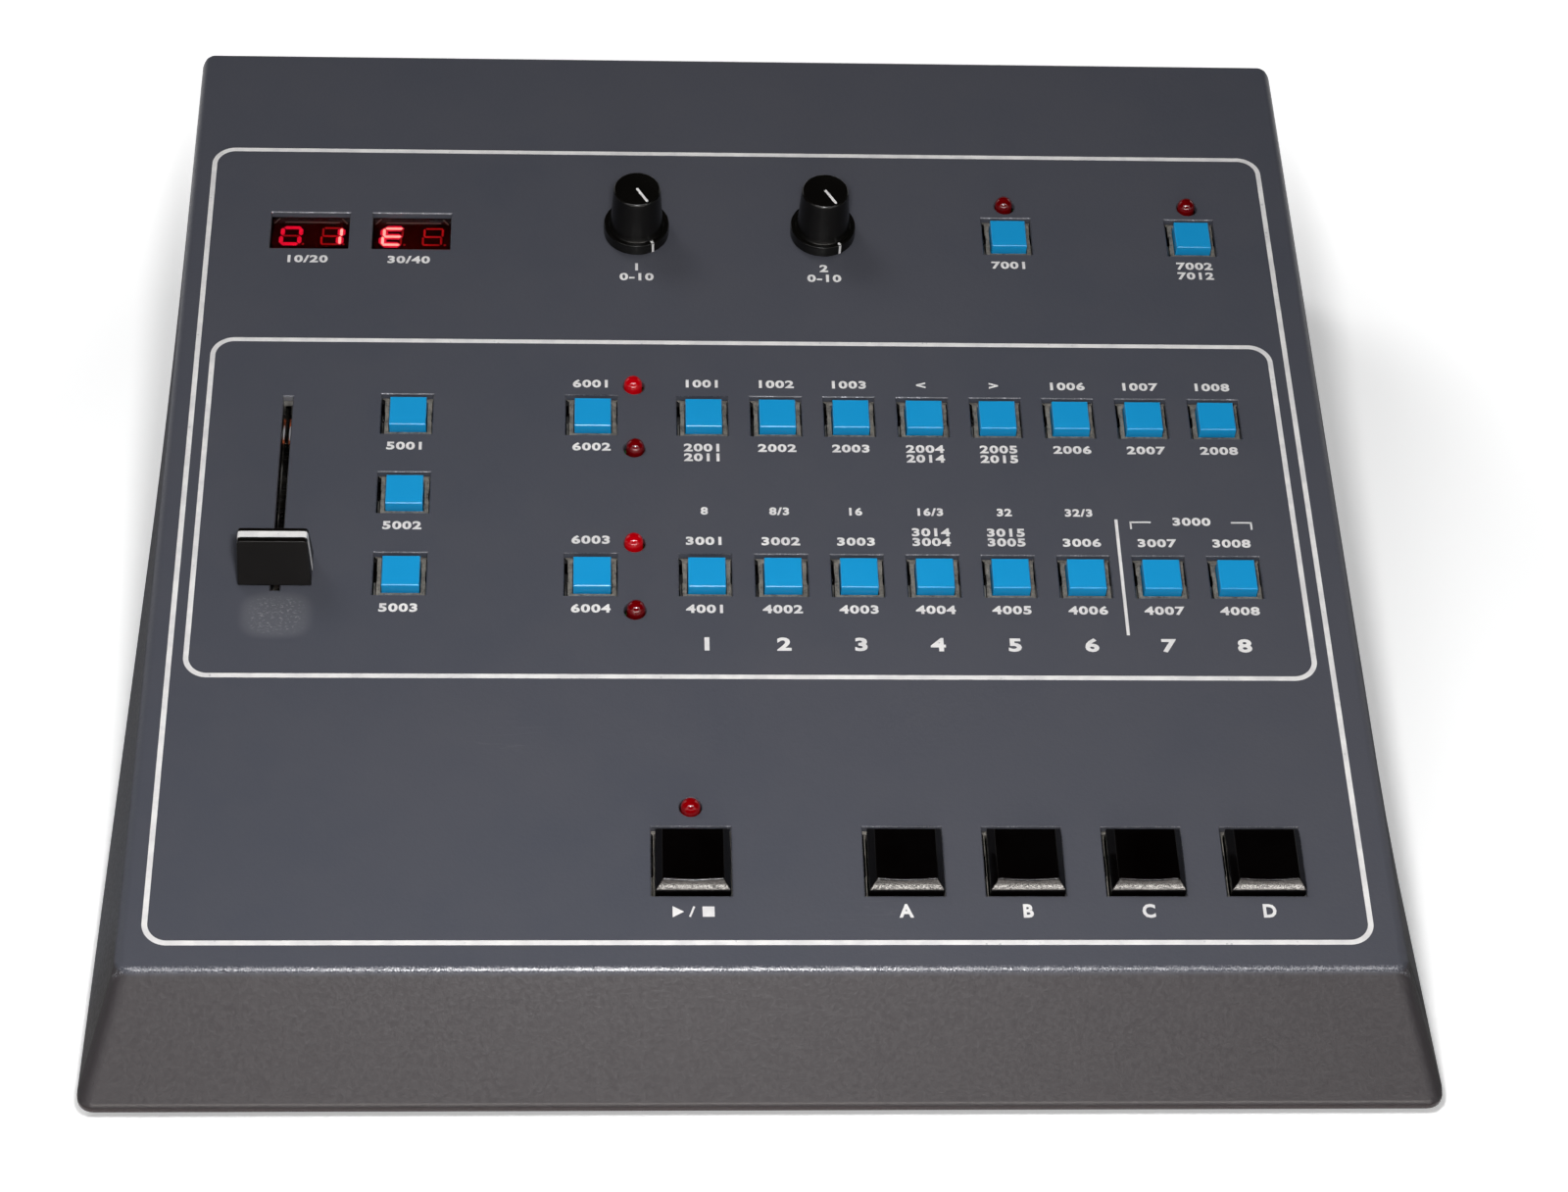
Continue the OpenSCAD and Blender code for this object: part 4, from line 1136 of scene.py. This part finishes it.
def slot_fittings():
    """What shows inside the fader's slot: a forked end plate, contact strips with a rivet on each,
    and rails. All of it stands clear of the lever's way."""
    plate, rivets, strips, rails = (bmesh.new() for _ in range(4))
    verts = block(plate, (5, 1.85, 0.4), (FADER_X, SLOT_FAR - 0.73, -2.5))
    for side in (-1.08, 1.08):
        verts += block(plate, (0.72, 3.0, 0.4), (FADER_X + side, SLOT_FAR - 3.1, -2.52))
    round_edges(plate, edges_of(verts), 0.1, 2)
    head = [(0, 0.3), (0.6, 0.28), (0.8, 0.1), (0.8, -0.1), (0, -0.1)]
    for side, y, top in SLOT_STRIPS:
        long_oval = Matrix.Diagonal((0.4, 3.2, 1, 1))
        add(rivets, turned(bmesh.new(), head, 20), shift(FADER_X + side, y - 0.7, top) @ long_oval)
        soft_block(strips, (0.64, 9, 0.4), (FADER_X + side, y, top - 0.4), 0.1)
    for side in (-0.9, 0.9):
        rail = rod(rails, 0.2, -30, 30, sides=10)
        moved(rails, rail, shift(FADER_X + side, FADER_Y - 2, -4.8) @ turn(math.pi / 2, "X"))
    for bm, name, finish in (
        (plate, "fader_end_plate", "clip"), (rivets, "fader_stop", "ribbon"),
        (strips, "fader_contact_strip", "track"), (rails, "fader_rails", "clip"),
    ):
        piece(bm, name, finish)


# ---------------------------------------------------------------- feet, screws and the base

def feet():
    bm = bmesh.new()
    foot = turned(bmesh.new(), [
        (2.3, 3), (4.4, 3), (4.4, 0.5), (4.7, 0.12), (5.0, 0), (7.2, 0), (7.7, 0.15),
        (8.05, 0.6), (8.9, 4.6), (9.0, 5), (2.3, 5), (2.3, 3),
    ])
    add(bm, foot, *[shift(sx * FOOT_X, sy * FOOT_Y) for sx in (-1, 1) for sy in (-1, 1)])
    piece(bm, "rubber_feet", "rubber", "feet", UPRIGHT)


def screw(head_r, head_h, thread_r, length):
    """A pan-head screw with a cross recess, head below the seat and thread above it."""
    bm = turned(bmesh.new(), [
        (0, -head_h), (head_r * 0.5, -head_h), (head_r * 0.8, -head_h * 0.9),
        (head_r * 0.95, -head_h * 0.6), (head_r, -head_h * 0.2), (head_r, 0), (thread_r, 0),
        (thread_r, length - 0.5), (thread_r - 0.4, length), (0, length),
    ], 28)
    long, narrow = head_r * 1.15, head_r * 0.28
    for arm in ((long, narrow), (narrow, long)):
        recess = bmesh.new()
        block(recess, (*arm, head_h * 0.7), (0, 0, -head_h - 0.1))
        bm = cut(bm, recess)
    return bm


def case_screws():
    """Long screws that hold the cover to the pan, and shorter ones through the feet."""
    bm = bmesh.new()
    add(bm, screw(3.5, 2.2, 1.9, 11), *[
        shift(sx * 155, y, BASE_Z) @ turn(0.4 * sx + 0.01 * y)
        for sx in (-1, 1) for y in (-CASE_D / 2 + 20, 0, CASE_D / 2 - 17.5)
    ])
    add(bm, screw(3.5, 2.2, 1.9, 8), *[
        shift(sx * FOOT_X, sy * FOOT_Y, 3) @ turn(0.7 * sx + 0.3 * sy)
        for sx in (-1, 1) for sy in (-1, 1)
    ])
    piece(bm, "case_screws_set", "steel", "case_screws", UPRIGHT)


def small_screws():
    """Small screws under the control board, on the main board and beside the mains inlet."""
    half_board = (PANEL_W - 22) / 2 - 5
    flat_head = Matrix.Diagonal((1, 1, 0.6, 1))
    bm = bmesh.new()
    add(
        bm, screw(2.75, 2, 1.4, 6),
        *[
            ON_PANEL @ shift(x, y, BOARD_Z - 1.6)
            for x in (-half_board, -62, half_board) for y in (PAD_Y + 28.5, TOP_Y + 15)
        ],
        *[shift(x, y, 13.8) @ turn(math.pi, "X") for x in (-134, 59) for y in (-66, 90)],
        *[
            shift(INLET_X + s * 20, REAR_Y + 0.8, REAR_Z) @ turn(math.pi / 2, "X")
            @ turn(0.5 * s) @ flat_head
            for s in (-1, 1)
        ],
    )
    piece(bm, "small_screws_set", "steel", "small_screws", UPRIGHT)


def worked_copy(node, label, finish, width, angle=50, body="root"):
    """A copy of a construction node with its edges lightly rounded."""
    bm = bmesh.new()
    bm.from_mesh(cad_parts[node].data)
    bmesh.ops.scale(bm, vec=(1000, 1000, 1000), verts=bm.verts)
    bmesh.ops.remove_doubles(bm, verts=bm.verts, dist=1e-3)
    bmesh.ops.recalc_face_normals(bm, faces=bm.faces)
    flattened(bm, 1)
    mesh = settle(mesh_of(bm), BEVEL={
        "width": width, "segments": 2, "limit_method": "ANGLE", "angle_limit": math.radians(angle),
    })
    piece(opened(mesh), node + label, finish, node, UPRIGHT, body)


def base():
    worked_copy("base_pan", "_sheet", "pan", 0.25)


# ---------------------------------------------------------------- the back

def jack_body():
    """A moulded jack with its threaded bush, upright, from its seat against the sheet."""
    turns, pitch = 6, 0.5
    thread = [
        (r, i * pitch + up) for i in reversed(range(turns)) for r, up in ((4.45, 0.35), (4.7, 0.1))
    ]
    return turned(bmesh.new(), [
        (3.2, -26), (3.2, 2.75), (3.45, 3.15), (4.3, 3.2), *thread, (4.7, 0),
        (6.4, 0), (6.4, -26.2), (0, -26.2), (0, -26), (3.2, -26),
    ], 36)


def hexagon_nut():
    bm = bmesh.new()
    tall = 2
    outer = bmesh.ops.create_circle(bm, segments=6, radius=7)["verts"]
    hole = bmesh.ops.create_circle(bm, segments=36, radius=4.75)["verts"]
    ring = bmesh.ops.bridge_loops(bm, edges=edges_of(outer) + edges_of(hole))["faces"]
    raised(bm, bmesh.ops.extrude_face_region(bm, geom=ring)["geom"], tall)
    outside = [e for e in bm.edges if all(v.co.xy.length > 6 for v in e.verts)]
    rim = [e for e in outside if all(abs(v.co.z - tall) < 1e-3 for v in e.verts)]
    posts = [e for e in outside if upright_edge(e.verts[0].co, e.verts[1].co)]
    round_edges(bm, rim + posts, 0.45)
    return bm


def jacks():
    """Output jacks: moulded bodies behind the sheet, threaded bushes through it and plated nuts."""
    out = turn(-math.pi / 2, "X")
    bodies, nuts = bmesh.new(), bmesh.new()
    add(bodies, jack_body(), *[shift(x, REAR_Y - 1.2, REAR_Z) @ out for x in JACK_XS])
    add(nuts, hexagon_nut(), *[
        shift(x, REAR_Y, REAR_Z) @ out @ turn(0.3 + 0.9 * i) for i, x in enumerate(JACK_XS)
    ])
    piece(bodies, "output_jack_bodies", "socket", "output_jacks", UPRIGHT)
    piece(nuts, "output_jack_nuts", "nickel", "jack_nuts", UPRIGHT)


def rear_figures():
    """A plain number over each output jack."""
    bm = bmesh.new()
    for i, x in enumerate(JACK_XS):
        lettering(bm, str(i + 1), -x, 48.6, 3.0, 1.1)
    place = shift(0, REAR_Y) @ turn(math.pi) @ turn(math.pi / 2, "X")
    piece(bm, "rear_figures", "ink", place=place)


def mains():
    """The mains inlet and the rocker switch."""
    worked_copy("power_inlet", "_shell", "socket", 0.5)
    worked_copy("switch_housing", "_shell", "socket", 0.4)
    worked_copy("power_rocker", "_paddle", "socket", 0.3, 40, "power_rocker")


def inside():
    """Finishes of what the case hides."""
    dress("board", "control_board", "main_board")
    dress("brass", "board_pillars")
    dress("steel", "volume_pots", "shaft_left", "shaft_right")
    dress("nickel", "pot_nuts")
    dress("chip", "main_chips")
    dress("iron", "power_transformer")
    dress("sleeve", "filter_capacitors")
    dress("ribbon", "ribbon_cable")


# ---------------------------------------------------------------- studio, in metres

def camera():
    data = bpy.data.cameras.new("view")
    adjust(data, sensor_width=36, lens=83.89, clip_start=0.05, clip_end=50)
    made = in_scene("view", data)
    made.matrix_world = (
        shift(-0.04373, -0.73888, 0.7130) @ turn(TILT, "X") @ turn(math.radians(-3.821), "Y")
        @ turn(math.radians(37.801), "X") @ turn(math.radians(-2.093))
    )
    bpy.context.scene.camera = made


def backdrop_rays(nodes):
    """1 for the rays that show the background itself or mirror it, 0 for those that light."""
    path = nodes.node("LightPath").outputs
    mirrored = nodes.math("ADD", path["Is Glossy Ray"], path["Is Transmission Ray"])
    rays = nodes.math("ADD", path["Is Camera Ray"], mirrored)
    rays.node.use_clamp = True
    return rays


def backdrop():
    """A white background whose light on the scene is weak."""
    ambient = 0.15
    world = bpy.data.worlds.new("studio")
    bpy.context.scene.world = world
    world.use_nodes = True
    nodes = Nodes(world.node_tree)
    background = world.node_tree.nodes["Background"].inputs
    background["Color"].default_value = (1, 1, 1, 1)
    lift = nodes.times(backdrop_rays(nodes), 1 - ambient)
    nodes.give(background["Strength"], nodes.math("ADD", lift, ambient))


def ground():
    """A pale floor that turns into the white background away from the case."""
    finish = Finish(
        "pale floor", 40.0, 3.0, Roughness=0.9, Specular_IOR_Level=0.1,
        Emission_Color=(1, 1, 1, 1),
    )
    finish.colour(finish.tone, (0.86, 0.86, 0.86, 1), (0.88, 0.88, 0.88, 1))
    away = finish.math("LENGTH", finish.place, kind="VectorMath")
    lift = finish.ramp(away, 0.22, 0.38, 0.4, 1.0)
    finish.feed("Emission Strength", finish.times(backdrop_rays(finish), lift))
    bm = bmesh.new()
    bmesh.ops.create_circle(bm, cap_ends=True, segments=64, radius=12)
    floor = in_scene("floor", mesh_of(bm, "floor"))
    floor.data.materials.append(finish.material)


def facing(at, aim, axis):
    return (Vector(aim) - Vector(at)).to_track_quat(axis, "Y")


def card_finish(name, *levels):
    finish = Finish(name, 40.0, 3.0, Roughness=1.0, Specular_IOR_Level=0.0)
    finish.colour(finish.tone, *[(level, level, level, 1) for level in levels])
    return finish.material


def cards():
    """Cards that only reflections see: the dark ones keep glossy black parts black."""
    dark, grey = card_finish("dark card", 0.003, 0.005), card_finish("grey card", 0.18, 0.2)
    middle = (0, 0, 0)
    for name, finish, size, at, aim in (
        ("dark_card_back", dark, 3.8, (0.0, 1.6, 1.8), middle),
        ("dark_card_front", dark, 3.2, (0.0, -1.8, 2.0), middle),
        ("dark_card_top", dark, 3.6, (0.0, -0.2, 3.0), (0.0, -0.2, 0)),
        ("dark_card_1", dark, 3.2, (-2.2, 0.0, 1.3), middle),
        ("dark_card_3", dark, 3.2, (2.2, 0.0, 1.3), middle),
        ("dark_card_low", dark, 1.6, (0.0, -0.972, 0.004), (0.0, -0.972, 1)),
        ("grey_card_1", grey, 0.5, (-0.4205, 0.0, 0.004), (-0.4205, 0.0, 1)),
        ("grey_card_3", grey, 0.5, (0.4205, 0.0, 0.004), (0.4205, 0.0, 1)),
    ):
        bm = bmesh.new()
        bmesh.ops.create_grid(bm, x_segments=1, y_segments=1, size=size / 2)
        bm.transform(shift(*at) @ facing(at, aim, "Z").to_matrix().to_4x4())
        card = in_scene(name, mesh_of(bm, name))
        card.data.materials.append(finish)
        adjust(card, visible_camera=False, visible_diffuse=False, visible_shadow=False)


def lamp(name, at, aim, power, unseen=(), **settings):
    """An area lamp, unseen by the camera and by those other kinds of rays."""
    data = bpy.data.lights.new(name, "AREA")
    adjust(data, energy=power, **settings)
    made = in_scene(name, data)
    adjust(
        made, location=at, rotation_mode="QUATERNION", rotation_quaternion=facing(at, aim, "-Z"),
        visible_camera=False, **{"visible_" + kind: False for kind in unseen},
    )


def studio_lamps():
    """A near lamp, two soft fills that no gloss mirrors, and two strips that only gloss mirrors."""
    lamp("near_lamp", (-0.03, -0.42, 0.50), (0, 0, 0.05), 3.0, shape="DISK", size=0.08)
    lamp("back_lamp", (-1.1, 1.1, 1.9), (0, 0, 0), 13, ["glossy"], shape="DISK", size=0.9)
    lamp(
        "front_fill", (0, -1.2, 0.25), (0, -0.05, 0.04), 1.6, ["glossy"], shape="DISK", size=0.5
    )
    lamp(
        "low_strip", (0, -1.15, 0.13), (0, -0.1, 0.04), 8.0, ["diffuse"], shape="RECTANGLE",
        size=1.5, size_y=0.10, color=(1.0, 0.94, 0.88),
    )
    lamp(
        "high_strip", (0, -0.5, 0.72), (0, -0.05, 0.05), 6.0, ["diffuse"], shape="RECTANGLE",
        size=1.2, size_y=0.06,
    )


# ---------------------------------------------------------------- assembly

bpy.context.scene.view_settings.view_transform = "Standard"
for build in (
    camera, cover, panel_lines, key_figures, panel_figures, key_caps, pad_caps, switch_frames,
    lamps, displays, knobs, fader_cap, slot_fittings, feet, case_screws, small_screws, base, jacks,
    rear_figures, mains, inside, backdrop, ground, cards, studio_lamps,
):
    build()
